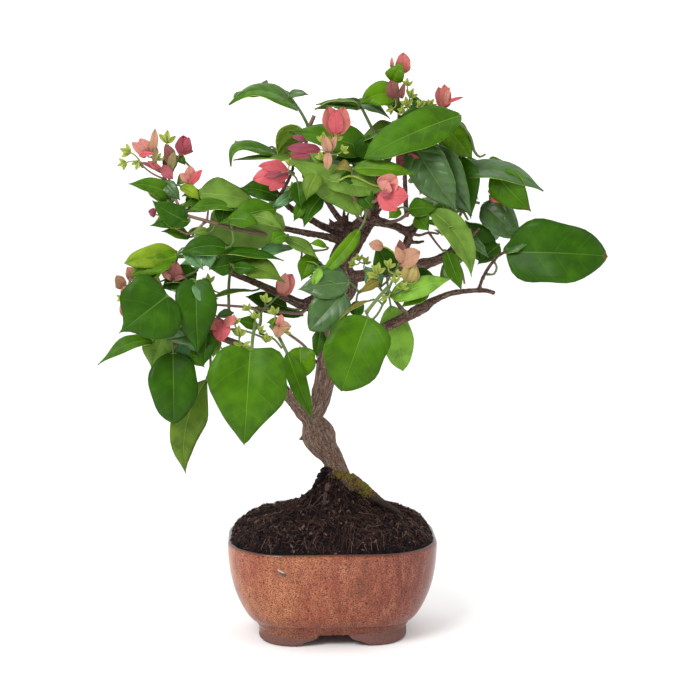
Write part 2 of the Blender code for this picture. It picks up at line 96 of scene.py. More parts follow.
def unit(vector):
    """The same direction with length 1, for one vector or for rows of them."""
    return vector / np.maximum(np.linalg.norm(vector, axis=-1, keepdims=True), 1e-9)


print("pot's middle, mm:", POT_MIDDLE.round(2))

# %% [markdown]
# ## Camera, floor and light
#
# The tree stands on white paper inside a white tent, so light comes from all round and shadows are soft. We
# use a pale floor, a white world and two large lamps: a key from the front left, and a weak fill from the
# right that keeps shadows open. The camera looks at the tree through a long lens, from near its top's height.

# %% Camera
IMAGE_SIDE = 700
FOCAL_PIXELS = 1655.0
SENSOR = 36.0
AIM = np.array((13.4, 0.0, 208.8))


def deselect_all():
    """Clears the selection, which every operator would act on."""
    bpy.ops.object.select_all(action="DESELECT")


deselect_all()
bpy.ops.object.camera_add(location=in_metres(EYE))
camera = bpy.context.object
camera.data.sensor_width = SENSOR
camera.data.lens = SENSOR * FOCAL_PIXELS / IMAGE_SIDE
camera.rotation_euler = Vector(AIM - EYE).to_track_quat("-Z", "Y").to_euler()
bpy.context.scene.camera = camera
bpy.context.scene.view_settings.view_transform = "Standard"
print("lens, mm:", round(camera.data.lens, 1))

# %% Helpers for finishes: linear colours and nodes


def linear(colour):
    """An sRGB hex colour as linear red, green, blue and alpha."""
    channels = [int(colour[place : place + 2], 16) / 255 for place in (1, 3, 5)]
    return (*[c / 12.92 if c <= 0.04045 else ((c + 0.055) / 1.055) ** 2.4 for c in channels], 1.0)


def add_node(tree, kind, inputs=(), stops=(), **settings):
    """Adds a shader node with its settings, and sets or links its inputs, by name or in their order.

    A node that is given as an input stands for its first output, and a hex colour for its linear colour.
    """
    made = tree.nodes.new("ShaderNode" + kind)
    for name, value in settings.items():
        setattr(made, name, value)
    if isinstance(inputs, dict):
        pairs = [(made.inputs[name], value) for name, value in inputs.items()]
    else:
        pairs = list(zip([socket for socket in made.inputs if socket.enabled], inputs))
    for socket, value in pairs:
        if isinstance(value, bpy.types.Node):
            value = next(output for output in value.outputs if output.enabled)
        if isinstance(value, bpy.types.NodeSocket):
            tree.links.new(value, socket)
        else:
            socket.default_value = linear(value) if isinstance(value, str) else value
    if stops:
        while len(made.color_ramp.elements) < len(stops):
            made.color_ramp.elements.new(1.0)
        for element, (place, colour) in zip(made.color_ramp.elements, stops):
            element.position = place
            element.color = linear(colour)
    return made


def new_finish(name, colour, roughness, **sockets):
    """A material with one Principled shader: returns the material, its node tree and the shader."""
    made = bpy.data.materials.new(name)
    made.use_nodes = True
    shader = made.node_tree.nodes["Principled BSDF"]
    shader.inputs["Base Color"].default_value = linear(colour)
    shader.inputs["Roughness"].default_value = roughness
    for socket, value in sockets.items():
        shader.inputs[socket.replace("_", " ")].default_value = value
    return made, made.node_tree, shader


# %% Floor and light
# Matt white paper: bright, with no gloss to show the lamps in.
paper, _, _ = new_finish("white_paper_matt", "#ffffff", 1.0, Specular_IOR_Level=0.0)
PAPER_SIDE, PAPER_Z = 12.0, -0.0005
deselect_all()
bpy.ops.mesh.primitive_plane_add(size=PAPER_SIDE, location=(0, 0, PAPER_Z))
floor = bpy.context.object
floor.name = "floor"
floor.data.materials.append(paper)

world = bpy.data.worlds.new("tent")
world.use_nodes = True
direction = add_node(world.node_tree, "TexCoord").outputs["Generated"]
parts = add_node(world.node_tree, "SeparateXYZ", [direction])
# White all round, but dim on the camera's side, so that leaves and glaze only shine where they turn away.
TENT_SIDES, TENT_FRONT = 1.3, 0.3
DIM_FROM, DIM_TO = -0.85, -0.05
glow = add_node(world.node_tree, "MapRange", [parts.outputs["Y"], DIM_FROM, DIM_TO, TENT_FRONT, TENT_SIDES])
# Behind the object the tent is plain white from every side.
seen = add_node(world.node_tree, "LightPath").outputs["Is Camera Ray"]
shown = add_node(world.node_tree, "Math", [glow, seen], operation="MAXIMUM")
tent = world.node_tree.nodes["Background"]
tent.inputs["Color"].default_value = (1.0, 1.0, 1.0, 1.0)
world.node_tree.links.new(shown.outputs["Value"], tent.inputs["Strength"])
bpy.context.scene.world = world

LAMPS = {  # place and aim in metres, side in metres, power in watts
    "key": ((-0.7, -1.1, 1.2), (0.0, 0.0, 0.22), 0.7, 18.0),
    "fill": ((1.1, -0.7, 0.9), (0.0, 0.0, 0.2), 0.8, 2.0),
}
for lamp_name, (place, aim, side, power) in LAMPS.items():
    deselect_all()
    bpy.ops.object.light_add(type="AREA", location=place)
    lamp = bpy.context.object
    lamp.name = lamp_name
    lamp.data.size = side
    lamp.data.energy = power
    lamp.rotation_euler = (Vector(aim) - Vector(place)).to_track_quat("-Z", "Y").to_euler()
print("lamps:", ", ".join(LAMPS))

# %% [markdown]
# ## Joining many small things
#
# A crumb of soil, a leaf stalk or a leaf is small, and there are hundreds. Each kind is worked out as arrays
# of points and faces, gathered in a heap, and made one mesh at the end. `tube` gives stalks and fibres: rings
# of points set square on a path. `smooth` bends a path through a few points that are given.

# %% Heaps, tubes and smooth paths


class Heap:
    """Points and faces of many small things, gathered for one joined piece."""

    def __init__(self):
        self.points = []
        self.faces = []
        self.finish = []
        self.count = 0

    def add(self, points, faces, finish=0):
        """Adds one thing. finish is the slot of all its faces, or a list with each face's slot."""
        self.faces += [[corner + self.count for corner in face] for face in faces]
        self.finish += [finish] * len(faces) if isinstance(finish, int) else list(finish)
        self.points.append(np.asarray(points, float))
        self.count += len(points)

    def piece(self, name, finishes):
        """Makes the joined piece, smooth shaded, with its finishes in its material slots."""
        mesh = bpy.data.meshes.new(name)
        mesh.from_pydata(in_metres(np.vstack(self.points)).tolist(), [], self.faces)
        for finish in finishes:
            mesh.materials.append(finish)
        mesh.polygons.foreach_set("material_index", self.finish)
        mesh.shade_smooth()
        made = bpy.data.objects.new(name, mesh)
        bpy.context.collection.objects.link(made)
        return made


def smooth(points, step):
    """A smooth curve through rows of values, with a row about every so many millimetres."""
    rows = np.array(points, float)
    rows = np.vstack((2 * rows[0] - rows[1], rows, 2 * rows[-1] - rows[-2]))
    out = []
    for a, b, c, d in zip(rows, rows[1:], rows[2:], rows[3:]):
        count = max(1, round(float(np.linalg.norm((c - b)[:3])) / step))
        for t in np.arange(count) / count:
            bow, turn = a - 2.5 * b + 2 * c - d / 2, 1.5 * (b - c) + (d - a) / 2
            out.append(b + (c - a) * t / 2 + bow * t * t + turn * t**3)
    return np.array(out + [rows[-2]])


def frames(path):
    """For a path, its tangents and two directions square to them that turn as little as they can."""
    tangents = unit(np.gradient(path, axis=0))
    side = unit(np.cross(tangents[0], UP if abs(tangents[0][2]) < 0.9 else np.array((1.0, 0.0, 0.0))))
    sides = []
    for tangent in tangents:
        side = unit(side - tangent * side.dot(tangent))
        sides.append(side)
    sides = np.array(sides)
    return tangents, sides, np.cross(tangents, sides)


def tube(path, radii, around=6):
    """Points and faces of a closed tube along a path, one radius for each of its points."""
    _, across, other = frames(path)
    angles = np.arange(around) * 2 * math.pi / around
    ring = np.cos(angles)[None, :, None] * across[:, None] + np.sin(angles)[None, :, None] * other[:, None]
    points = (path[:, None] + ring * np.asarray(radii)[:, None, None]).reshape(-1, 3)
    faces = [list(range(around))[::-1]]
    for row in range(len(path) - 1):
        low = row * around
        for i in range(around):
            j = (i + 1) % around
            faces.append([low + i, low + j, low + around + j, low + around + i])
    faces.append([len(points) - around + i for i in range(around)])
    return points, faces

# %% [markdown]
# ## Trunk and boughs
#
# The trunk leans and twists, swells at old wounds and forks into boughs of about finger thickness. Each limb
# is a curve with its own thickness at every point. The curves are made meshes and joined, and a voxel remesh
# melts them into one skin, as wood grows over a fork. Then every point of the skin is moved in or out by
# the bark's relief. The relief is worked out on straightened limbs, with the distance along the nearest
# limb as one of its coordinates, so that the cracks run with the wood wherever it bends.

# %% The limbs: x, y, z of the middle and its radius, in millimetres
TRUNK = [
    (9, 0, 96, 13.5), (7.5, 0, 106, 11.0), (5, 0, 114, 9.4), (2.5, 0, 124, 7.8), (-1, 0, 131, 8.4),
    (-6, -1, 138, 10.6), (-9.5, -2, 146, 12.4), (-12.5, -2, 153.5, 10.0), (-14, -2, 158.5, 7.0),
    (-10, 0, 166, 6.4), (-7.5, 2, 175, 7.6), (-5, 3, 188, 7.4), (-4, 4, 203, 6.6), (-2, 5, 220, 6.2),
    (1, 7, 234, 6.0), (6, 9, 244, 5.8), (12, 9, 251, 5.8), (13, 6, 258, 6.2), (9, 3, 265, 7.6),
    (7, 2, 273, 9.0), (11.5, 1, 283, 9.2), (18, 0, 293, 8.4), (25, 0, 302, 6.8),
]
LIMBS = {
    "surface_root_right": [
        (12, -2, 112, 7.0), (21, -4, 106.5, 5.6), (30, -6, 100, 4.2),
        (40, -8, 93.5, 2.5), (48, -9, 88.5, 1.6), (54, -10, 84.5, 0.9),
    ],
    "surface_root_left": [
        (0, -5, 113, 3.6), (-3, -12, 106, 2.4), (-5, -19, 99, 1.6), (-5, -25, 93.5, 1.0),
    ],
    "bough_left_low": [
        (-15, -2, 157, 5.0), (-21, -3, 162, 5.2), (-26, -5, 168, 4.4), (-31, -8, 174, 4.0),
        (-37, -11, 184, 3.6), (-48, -16, 199, 3.2), (-62, -21, 210, 2.9), (-75, -26, 216, 2.6),
        (-88, -31, 221, 2.3), (-100, -34, 229, 2.0),
    ],
    "bough_left_middle": [
        (9, 3, 260, 4.4), (0, 1, 256, 3.6), (-9, -3, 249, 3.4), (-17, -6, 243, 4.4),
        (-24, -7, 243, 3.6), (-40, -8, 251, 3.0), (-55, -8, 258, 2.6), (-70, -6, 264, 2.2),
        (-84, -4, 269, 1.8),
    ],
    "bough_left_upper_front": [
        (13, 0, 285, 4.2), (4, -2, 289, 3.2), (-8, -4, 292, 2.6), (-20, -6, 294, 2.4),
        (-34, -8, 297, 2.2), (-46, -10, 298, 2.0), (-60, -12, 299, 1.6),
    ],
    "bough_left_upper_back": [
        (15, 2, 292, 4.2), (6, 3, 294, 3.4), (-5, 5, 298, 2.8), (-14, 7, 303, 2.6),
        (-24, 8, 308, 2.5), (-33, 7, 315, 2.3), (-41, 4, 325, 2.0),
    ],
    "bough_top_left": [
        (17, 4, 298, 3.6), (9, 9, 301, 2.6), (2, 11, 309, 2.3), (-4, 11, 319, 2.1),
        (-8, 10, 332, 1.9), (-10, 8, 345, 1.7),
    ],
    "bough_top": [
        (26, 1, 302, 4.8), (31, 6, 314, 4.2), (35, 12, 330, 3.6), (40, 14, 346, 3.0), (46, 10, 360, 2.4),
    ],
    "bough_right_upper": [
        (26, 0, 303, 4.6), (36, 0, 301.5, 3.4), (46, 1, 298.5, 3.0), (56, 4, 295, 3.6),
        (64, 5, 303, 2.8), (70, 6, 314, 2.4), (76, 6, 326, 2.1),
    ],
    "bough_right_middle": [
        (10, 3, 261, 4.6), (22, 5, 263, 4.4), (40, 7, 266, 4.2), (60, 7, 269, 4.0),
        (78, 4, 275, 3.6), (88, 0, 281, 3.2),
    ],
    "bough_right_rising": [
        (51, 7, 267, 3.6), (51, 6, 276, 3.2), (54, 5, 286, 3.2), (57, 4, 294, 3.0),
    ],
    "bough_right_low": [
        (-3, 5, 206, 4.8), (12, 6, 212, 4.4), (26, 6, 219, 4.2), (40, 4, 226, 3.8),
        (54, 2, 233, 3.8), (66, 0, 240, 4.4), (74, -1, 245, 2.7), (86, -3, 250, 2.2),
        (100, -4, 252, 1.9), (112, -4, 252, 1.8), (118, -4, 250, 1.7),
    ],
    "shoot_centre_front": [(26, -3, 306, 2.6), (25, -16, 311, 2.2), (18, -38, 318, 1.8)],
    "shoot_top_left": [
        (-20, 7, 352, 1.5), (-16, 6, 366, 1.4), (-20, 5, 377, 1.2), (-28, 5, 389, 1.1),
    ],
    "shoot_far_right": [
        (106, -4, 252, 1.5), (109, -7, 261, 1.4), (114, -12, 270, 1.4), (121, -17, 278, 1.3),
        (130, -20, 281, 1.1),
    ],
    "shoot_right_blossom": [(56, 0, 234, 1.8), (49, -15, 241, 1.6), (43, -30, 250, 1.4)],
    "shoot_left_upright": [(-74, -30, 232, 1.2), (-74, -22, 255, 1.2), (-72, -12, 272, 1.0)],
    "stalk_heart_leaf": [(-55, -50, 228, 1.3), (-57, -70, 218, 1.2), (-58, -84, 206, 1.1)],
    "stalk_trunk_left_leaf": [(-44, -44, 227, 1.3), (-38, -47, 218, 1.2), (-31, -52, 204, 1.1)],
    "stalk_trunk_front_leaf": [(25, -66, 236, 1.3), (33, -62, 246, 1.2), (40, -56, 254, 1.2)],
}
# Shoots and stalks stay green, so they are made with the twigs. All else is wood with bark.
GREEN = [name for name in LIMBS if name.startswith(("shoot_top", "shoot_left", "shoot_centre", "stalk"))]
# Stubs of twigs that were cut or broke off, and burls.
STUBS = [
    [(8, 3, 296, 3.4), (5, 2, 299, 3.8), (2, 0, 298, 2.6)],
    [(8, 2, 298, 3.0), (9, 0, 303, 3.0), (6, -1, 302, 2.2)],
    [(9, 1, 299, 1.3), (9, 0, 306, 1.1), (9.3, 0, 311.5, 1.0)],
    [(11, 1, 300, 1.3), (12, 1, 307, 0.9), (14, 1, 312, 0.8)],
    [(2, 2, 300, 1.4), (-1, 2, 303, 0.9), (-2, 2, 304.5, 0.5)],
    [(1, 1, 297, 1.2), (-2, 0, 301, 0.7)],
    [(27, -3, 303, 2.6), (31, -4, 305, 2.4), (35, -4, 303, 2.0), (41, -3, 300, 1.6)],
    [(28, -3, 304, 1.4), (27, -5, 308, 1.0), (24, -6, 311, 0.6)],
    [(31, -3, 304, 1.6), (34, -5, 309, 1.3), (37, -4, 313, 1.5)],
    [(54, 5, 305, 2.0), (53, 5, 320, 1.9), (52.5, 5, 335, 1.8)],
    [(56, 4, 296, 1.6), (61, 2, 302, 1.1), (66, 0, 307, 0.9)],
    [(60, 7, 269, 2.0), (64, 6, 274, 1.5), (69, 5, 275, 1.3)],
    [(58, 4, 287, 1.5), (63, 3, 287, 1.3), (67, 2, 288, 1.0)],
    [(66, 0, 240, 3.6), (69, 0, 240, 3.4), (70, 0, 241, 2.6)],
    [(-38, -9, 319, 1.5), (-33, -9, 327, 1.5), (-29, -9, 335, 1.4), (-27, -8, 341, 1.3)],
    [(-21, -4, 144, 2.0), (-22.5, -5, 143, 1.3), (-24, -5, 142.5, 0.7)],
    [(-19, -4, 240, 3.4), (-16, -7, 241, 3.2), (-12, -6, 245, 2.6)],
    [(-8, -8, 150, 6.0), (-5, -7, 143, 6.4), (-1, -6, 137, 4.0)],
    [(4, -3, 121, 6.2), (8, -5, 114, 5.0), (11, -7, 107, 4.0), (13, -8, 100, 3.0)],
    [(-3, -2, 121, 3.4), (-7, -4, 114, 2.8), (-10, -6, 107, 2.2), (-12, -7, 101, 1.6)],
    [(8, 6, 116, 4.0), (12, 12, 107, 3.0), (16, 18, 98, 2.0)],
    [(-85, -4, 271, 1.0), (-80, -3, 277, 0.8)],
    [(78, 4, 275, 2.2), (84, 3, 279, 3.0), (87, 2, 282, 2.6)],
    [(90, -1, 276, 1.6), (96, -3, 274, 1.3), (98, -3, 272, 1.2)],
    [(100, -4, 292, 1.0), (106, -5, 296, 0.9)],
]


def on_board(path):
    """A limb's points, carried to their depth, with the radius as the fourth value."""
    return np.array([(*carried(x, z, y), radius) for x, y, z, radius in path])


wood_paths = [on_board(TRUNK)] + [on_board(LIMBS[name]) for name in LIMBS if name not in GREEN]
wood_paths += [on_board(path) for path in STUBS]
print("limbs with bark:", len(wood_paths))

# %% Curves, joined and remeshed into one skin
VOXEL = 0.72
CURVE_STEP = 2.0
deselect_all()
for number, path in enumerate(wood_paths):
    curve = bpy.data.curves.new("limb", "CURVE")
    curve.dimensions = "3D"
    curve.bevel_depth = MM
    curve.bevel_resolution = 4
    curve.use_fill_caps = True
    rows = smooth(path, CURVE_STEP)
    spline = curve.splines.new("POLY")
    spline.points.add(len(rows) - 1)
    for point, row, place in zip(spline.points, rows, in_metres(rows[:, :3])):
        point.co = (*place, 1.0)
        point.radius = row[3]
    limb = bpy.data.objects.new(f"limb_{number}", curve)
    bpy.context.collection.objects.link(limb)
    limb.select_set(True)
    bpy.context.view_layer.objects.active = limb
bpy.ops.object.convert(target="MESH")
bpy.ops.object.join()
wood = bpy.context.object
wood.name = "wood"


def apply_modifier(obj, kind, **settings):
    """Adds a modifier with its settings and applies it."""
    modifier = obj.modifiers.new(kind.lower(), kind)
    for name, value in settings.items():
        setattr(modifier, name, value)
    deselect_all()
    obj.select_set(True)
    bpy.context.view_layer.objects.active = obj
    bpy.ops.object.modifier_apply(modifier=modifier.name)


apply_modifier(wood, "REMESH", mode="VOXEL", voxel_size=VOXEL * MM)
apply_modifier(wood, "SMOOTH", factor=0.5, iterations=5)
print("wood, faces after the remesh:", len(wood.data.polygons))

# %% Straightened limbs: where each point of the skin lies along and around its limb
SAMPLE_STEP = 1.5
NEXT_LIMB = 400.0  # how far each limb's distances start from the last one's, so that no grain is shared
NEAR_SAMPLES = 6
samples, sample_sides, sample_others, sample_along = [], [], [], []
for number, path in enumerate(wood_paths):
    rows = smooth(path, SAMPLE_STEP)
    _, side, other = frames(rows[:, :3])
    steps = np.linalg.norm(np.diff(rows[:, :3], axis=0), axis=1)
    samples.append(rows)
    sample_sides.append(side)
    sample_others.append(other)
    sample_along.append(np.concatenate(([0.0], np.cumsum(steps))) + NEXT_LIMB * number)
samples, sample_along = np.vstack(samples), np.concatenate(sample_along)
sample_sides, sample_others = np.vstack(sample_sides), np.vstack(sample_others)

tree = kdtree.KDTree(len(samples))
for number, row in enumerate(samples):
    tree.insert(row[:3], number)
tree.balance()

co = np.zeros(len(wood.data.vertices) * 3)
wood.data.vertices.foreach_get("co", co)
skin = co.reshape(-1, 3) / MM - POT_MIDDLE
nearest = np.array([
    min(tree.find_n(point, NEAR_SAMPLES), key=lambda hit: hit[2] - samples[hit[1]][3])[1] for point in skin
])
out = skin - samples[nearest][:, :3]
across = np.einsum("ij,ij->i", out, sample_sides[nearest])
other = np.einsum("ij,ij->i", out, sample_others[nearest])
tangent = np.cross(sample_sides[nearest], sample_others[nearest])
grain = np.stack((across, other, sample_along[nearest] + np.einsum("ij,ij->i", out, tangent)), axis=1)
print("all limbs together, mm:", round(float(np.diff(sample_along).clip(0, 2 * SAMPLE_STEP).sum())))

# %% Bark relief
# Old bark splits along the wood into strips 2 to 3 mm wide. The swollen foot is finer and grainier, and the
# boughs are smoother, with low rings where leaves once grew.
CRACK_WIDTH = 2.3
CRACK_LENGTH = 13.0
OLD_WOOD_Z = 262.0
OLD_WOOD_BLEND = 15.0
FOOT_Z = 128.0
FOOT_BLEND = 10.0
MATURE_RADIUS = 9.0
# Depths in millimetres: of any crack, and what a thick limb, old wood and the foot add to it.
CRACK_DEPTHS = (0.1, 0.22, 0.62, 0.35)
GRAIN_HEIGHT, LUMP_HEIGHT, RING_HEIGHT = 0.22, 0.7, 0.28
RING_GAP, RING_HALF = 17.0, 1.1


def crack_at(place, width, length):
    """How deep a bark crack is at a place on the straightened limb: 1 in its middle, 0 away from it."""
    wander = noise.noise(Vector(place) / 9.0) * 1.5
    spot = Vector((place[0] / width + wander, place[1] / width - wander, place[2] / length))
    return max(0.0, 1.0 - abs(noise.noise(spot)) / 0.2)


radius = samples[nearest][:, 3]
height = skin[:, 2]
relief = np.zeros(len(skin))
cracks = np.zeros(len(skin))
for i, place in enumerate(grain):
    thick = min(radius[i] / MATURE_RADIUS, 1.0)
    old = min(max((height[i] - OLD_WOOD_Z) / OLD_WOOD_BLEND, 0.0), 1.0) * thick
    foot = min(max((FOOT_Z - height[i]) / FOOT_BLEND, 0.0), 1.0) * thick
    strength = CRACK_DEPTHS[0] + CRACK_DEPTHS[1] * thick + CRACK_DEPTHS[2] * old + CRACK_DEPTHS[3] * foot
    width = CRACK_WIDTH * (0.65 + 0.35 * thick)
    crack = crack_at(place, width, CRACK_LENGTH * (0.6 + 0.4 * thick + 0.5 * old))
    fine = noise.noise(Vector((place[0] / 1.6, place[1] / 1.6, place[2] / 3.2)))
    lump = noise.noise(Vector(place) / (5.0 + 4.0 * thick))
    ring = math.exp(-((place[2] % RING_GAP - RING_GAP / 2) / RING_HALF) ** 2) * (1.0 - thick)
    cracks[i] = crack
    relief[i] = -strength * crack + GRAIN_HEIGHT * fine * (0.4 + thick)
    relief[i] += LUMP_HEIGHT * lump * thick + RING_HEIGHT * ring

normals = np.zeros(len(skin) * 3)
wood.data.vertices.foreach_get("normal", normals)
skin = skin + normals.reshape(-1, 3) * relief[:, None]
wood.data.vertices.foreach_set("co", in_metres(skin).ravel())
wood.data.update()
wood.data.shade_smooth()
for name, kind, values in (("grain", "FLOAT_VECTOR", grain), ("crack", "FLOAT", cracks)):
    attribute = wood.data.attributes.new(name, kind, "POINT")
    field = "vector" if kind == "FLOAT_VECTOR" else "value"
    attribute.data.foreach_set(field, values.ravel().astype(np.float32))
print("bark relief, mm:", relief.min().round(2), "to", relief.max().round(2))

# %% [markdown]
# ## The bark's finish
#
# Bark is dry and matt. It's grey-tan where the sun has bleached the swollen foot, and redder and darker up in
# the crown. The colour is mixed from a noise that is drawn out along the limbs, so it makes streaks, from a
# fine speckle, and from how deep each point lies in a crack, where painted shade darkens the bark to nearly
# black.

# %% Bark
bark, nodes, shader = new_finish("old_bark_dry", "#5f4d40", 0.85, Specular_IOR_Level=0.25)
in_grain = add_node(nodes, "Attribute", attribute_name="grain").outputs["Vector"]
in_crack = add_node(nodes, "Attribute", attribute_name="crack").outputs["Fac"]
above = add_node(nodes, "SeparateXYZ", [add_node(nodes, "TexCoord").outputs["Object"]]).outputs["Z"]
drawn_out = add_node(nodes, "Mapping", {"Vector": in_grain, "Scale": (1.0, 1.0, 0.13)})
streaks = add_node(nodes, "TexNoise", {"Vector": drawn_out, "Scale": 0.75, "Detail": 5.0, "Roughness": 0.7})
speckle = add_node(nodes, "TexNoise", {"Vector": in_grain, "Scale": 1.3, "Detail": 4.0})
LOW_BARK = [(0.3, "#563f35"), (0.47, "#7a6052"), (0.56, "#927869"), (0.7, "#b09a8c")]
HIGH_BARK = [(0.3, "#46302a"), (0.46, "#6c5045"), (0.57, "#886c61"), (0.7, "#ad998f")]
low = add_node(nodes, "ValToRGB", [streaks], LOW_BARK)
high = add_node(nodes, "ValToRGB", [streaks], HIGH_BARK)
up_tree = add_node(nodes, "MapRange", [above, 0.150, 0.262])
tinted = add_node(nodes, "Mix", [up_tree, low, high], data_type="RGBA")
# The foot is stained dark where it stands in the damp soil.
unstained = add_node(nodes, "MapRange", [above, 0.098, 0.122])
wetted = add_node(nodes, "Mix", [unstained, "#40302a", tinted], data_type="RGBA")
grit = add_node(nodes, "ValToRGB", [speckle], [(0.36, "#7c7c7c"), (0.5, "#cccccc"), (0.62, "#ffffff")])
speckled = add_node(nodes, "Mix", [0.75, wetted, grit], data_type="RGBA", blend_type="MULTIPLY")
# Painted shade: the cracks are darkened towards near black, more up the tree than at the foot.
crack_shade_by_height = add_node(nodes, "MapRange", {"Value": up_tree, "To Min": 0.45, "To Max": 0.9})
dark = add_node(nodes, "Math", [in_crack, crack_shade_by_height], operation="MULTIPLY")
shaded = add_node(nodes, "Mix", [dark, speckled, "#1d1410"], data_type="RGBA")
nodes.links.new(shaded.outputs[2], shader.inputs["Base Color"])
rough = add_node(nodes, "Bump", {"Height": speckle, "Strength": 0.5, "Distance": 0.0006})
nodes.links.new(rough.outputs["Normal"], shader.inputs["Normal"])
wood.data.materials.clear()
wood.data.materials.append(bark)
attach(wood, "root")
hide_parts("trunk", *[name for name in LIMBS if name not in GREEN])
print("triangles in the wood:", sum(len(face.vertices) - 2 for face in wood.data.polygons))

# %% [markdown]
# ## The pot
#
# A bonsai pot of this kind is slip cast in one piece: a bowl with bulging walls, a thin rim, and a low foot
# ring that is cut through on each side, so that the pot stands on four feet with a cloud-shaped gap between
# them. We roll it from a flat sheet of quads. Each row of the sheet becomes one ring round the pot, up the
# outside, over the rim, down the inside and back under the floor, so the wall has its real thickness and
# the feet's gaps are only places where the foot's lowest ring is lifted.

# %% Sizes of the pot, in millimetres
RIM_Z = 72.0
RIM_HALF = (76.2, 58.6)
RIM_CORNER = 44.0
CORNER_SHRINK = 0.8
DEPTH_SHARE = 0.72
WALL = 4.5
FLOOR_Z = 15.0
FOOT_HEIGHT = 8.0
FOOT_WALL = 9.0
DRAIN_RADIUS = 6.0
UNDER_DRAW_IN = 22.3
FLOOR_DRAW_IN = 24.0
WALL_STEP = 1.2
WELD = 0.02
POT_TURN = math.radians(2.5)
TURN = np.array(((math.cos(POT_TURN), math.sin(POT_TURN)), (-math.sin(POT_TURN), math.cos(POT_TURN))))
# Height above the table, and how far the wall has drawn in from the rim: the foot, a small cove above it,
# the rounded shoulder, the bulging wall and the rolled lip.
OUTSIDE = [
    (0.0, 23.6), (0.8, 22.6), (2.0, 22.2), (4.0, 22.2), (6.5, 22.3), (8.4, 22.6), (9.6, 22.3), (10.6, 21.2),
    (11.8, 20.3), (13.0, 20.2), (14.0, 19.0), (15.0, 17.0), (18.5, 13.6), (25.0, 9.6), (35.0, 5.2),
    (45.0, 2.4), (55.0, 0.8), (64.0, 0.1), (69.5, 0.0),
    (71.0, 0.4), (71.8, 1.2), (RIM_Z, 2.4), (71.7, 3.6), (70.9, 4.3), (69.5, 4.6),
]
INSIDE = [(66.0, 4.7), (50.0, 6.0), (32.0, 10.5), (22.0, 15.5), (17.0, 20.0)]
# Cloud-cut gaps between the feet: height, and half the gap's width there.
FRONT_GAP = [(0.0, 25.5), (2.5, 21.5), (4.5, 15.0), (6.0, 12.0), (FOOT_HEIGHT, 11.0)]
SIDE_GAP = [(0.0, 17.0), (2.5, 14.0), (4.5, 9.0), (6.0, 7.0), (FOOT_HEIGHT, 6.0)]
POINTS_ROUND = (16, 20, 36)  # on half a short side's straight, on a corner, on half a long side's straight


def pot_ring(draw_in, z):
    """The pot's outline where its wall has drawn in that far: a rounded rectangle, anticlockwise."""
    half_x, half_y = RIM_HALF[0] - draw_in, RIM_HALF[1] - draw_in * DEPTH_SHARE
    corner = min(RIM_CORNER - CORNER_SHRINK * draw_in, half_x, half_y)
    short, bend, long = POINTS_ROUND
    quarter = [(half_x, (half_y - corner) * i / short) for i in range(short)]
    for i in range(bend):
        angle = math.pi / 2 * i / bend
        quarter.append((half_x - corner * (1 - math.cos(angle)), half_y - corner * (1 - math.sin(angle))))
    quarter += [((half_x - corner) * (1 - i / long), half_y) for i in range(long)]
    points = list(quarter)
    points += [(-x, y) for x, y in [(0.0, half_y)] + quarter[:0:-1]]
    points += [(-x, -y) for x, y in points]
    return np.column_stack((np.array(points) @ TURN, np.full(len(points), float(z))))


def gap_height(ring):
    """How high the foot is cut away at each point of a ring: 0 on the feet."""
    unturned = ring[:, :2] @ TURN.T
    heights = []
    for along, profile in ((unturned[:, 0], FRONT_GAP), (unturned[:, 1], SIDE_GAP)):
        rises = [z for z, _ in reversed(profile)]
        heights.append(np.interp(np.abs(along), [half for _, half in reversed(profile)], rises, right=0.0))
    return np.maximum(*heights)


def rolled(name, rings):
    """A sheet of quads whose rows lie on the rings, with its seam closed."""
    count = len(rings[0])
    deselect_all()
    bpy.ops.mesh.primitive_grid_add(x_subdivisions=count, y_subdivisions=len(rings) - 1, size=1.0)
    made = bpy.context.object
    made.name = name
    rows = np.array([np.vstack((ring, ring[:1])) for ring in rings])
    made.data.vertices.foreach_set("co", in_metres(rows.reshape(-1, 3)).ravel())
    made.location = (0, 0, 0)
    bpy.ops.object.mode_set(mode="EDIT")
    bpy.ops.mesh.select_all(action="SELECT")
    bpy.ops.mesh.remove_doubles(threshold=WELD * MM)
    bpy.ops.mesh.normals_make_consistent(inside=False)
    bpy.ops.object.mode_set(mode="OBJECT")
    made.data.shade_smooth()
    return made


# %% Roll the pot
rings = []
for z, draw_in in smooth([(draw, z, 0.0) for z, draw in OUTSIDE], WALL_STEP)[:, [1, 0]]:
    ring = pot_ring(draw_in, z)
    ring[:, 2] = np.maximum(ring[:, 2], gap_height(ring) * (z < FOOT_HEIGHT))
    rings.append(ring)
rings += [pot_ring(draw_in, z) for z, draw_in in INSIDE]
floor_ring = pot_ring(FLOOR_DRAW_IN, FLOOR_Z)
drain = unit(floor_ring * (1, 1, 0)) * DRAIN_RADIUS
rings += [floor_ring, drain + (0, 0, FLOOR_Z), drain + (0, 0, FOOT_HEIGHT)]
under = pot_ring(UNDER_DRAW_IN + FOOT_WALL, FOOT_HEIGHT)
foot_inside = under.copy()
foot_inside[:, 2] = gap_height(under)
rings += [under, foot_inside, rings[0]]
pot = rolled("stoneware_pot", rings)
print("pot, faces:", len(pot.data.polygons))
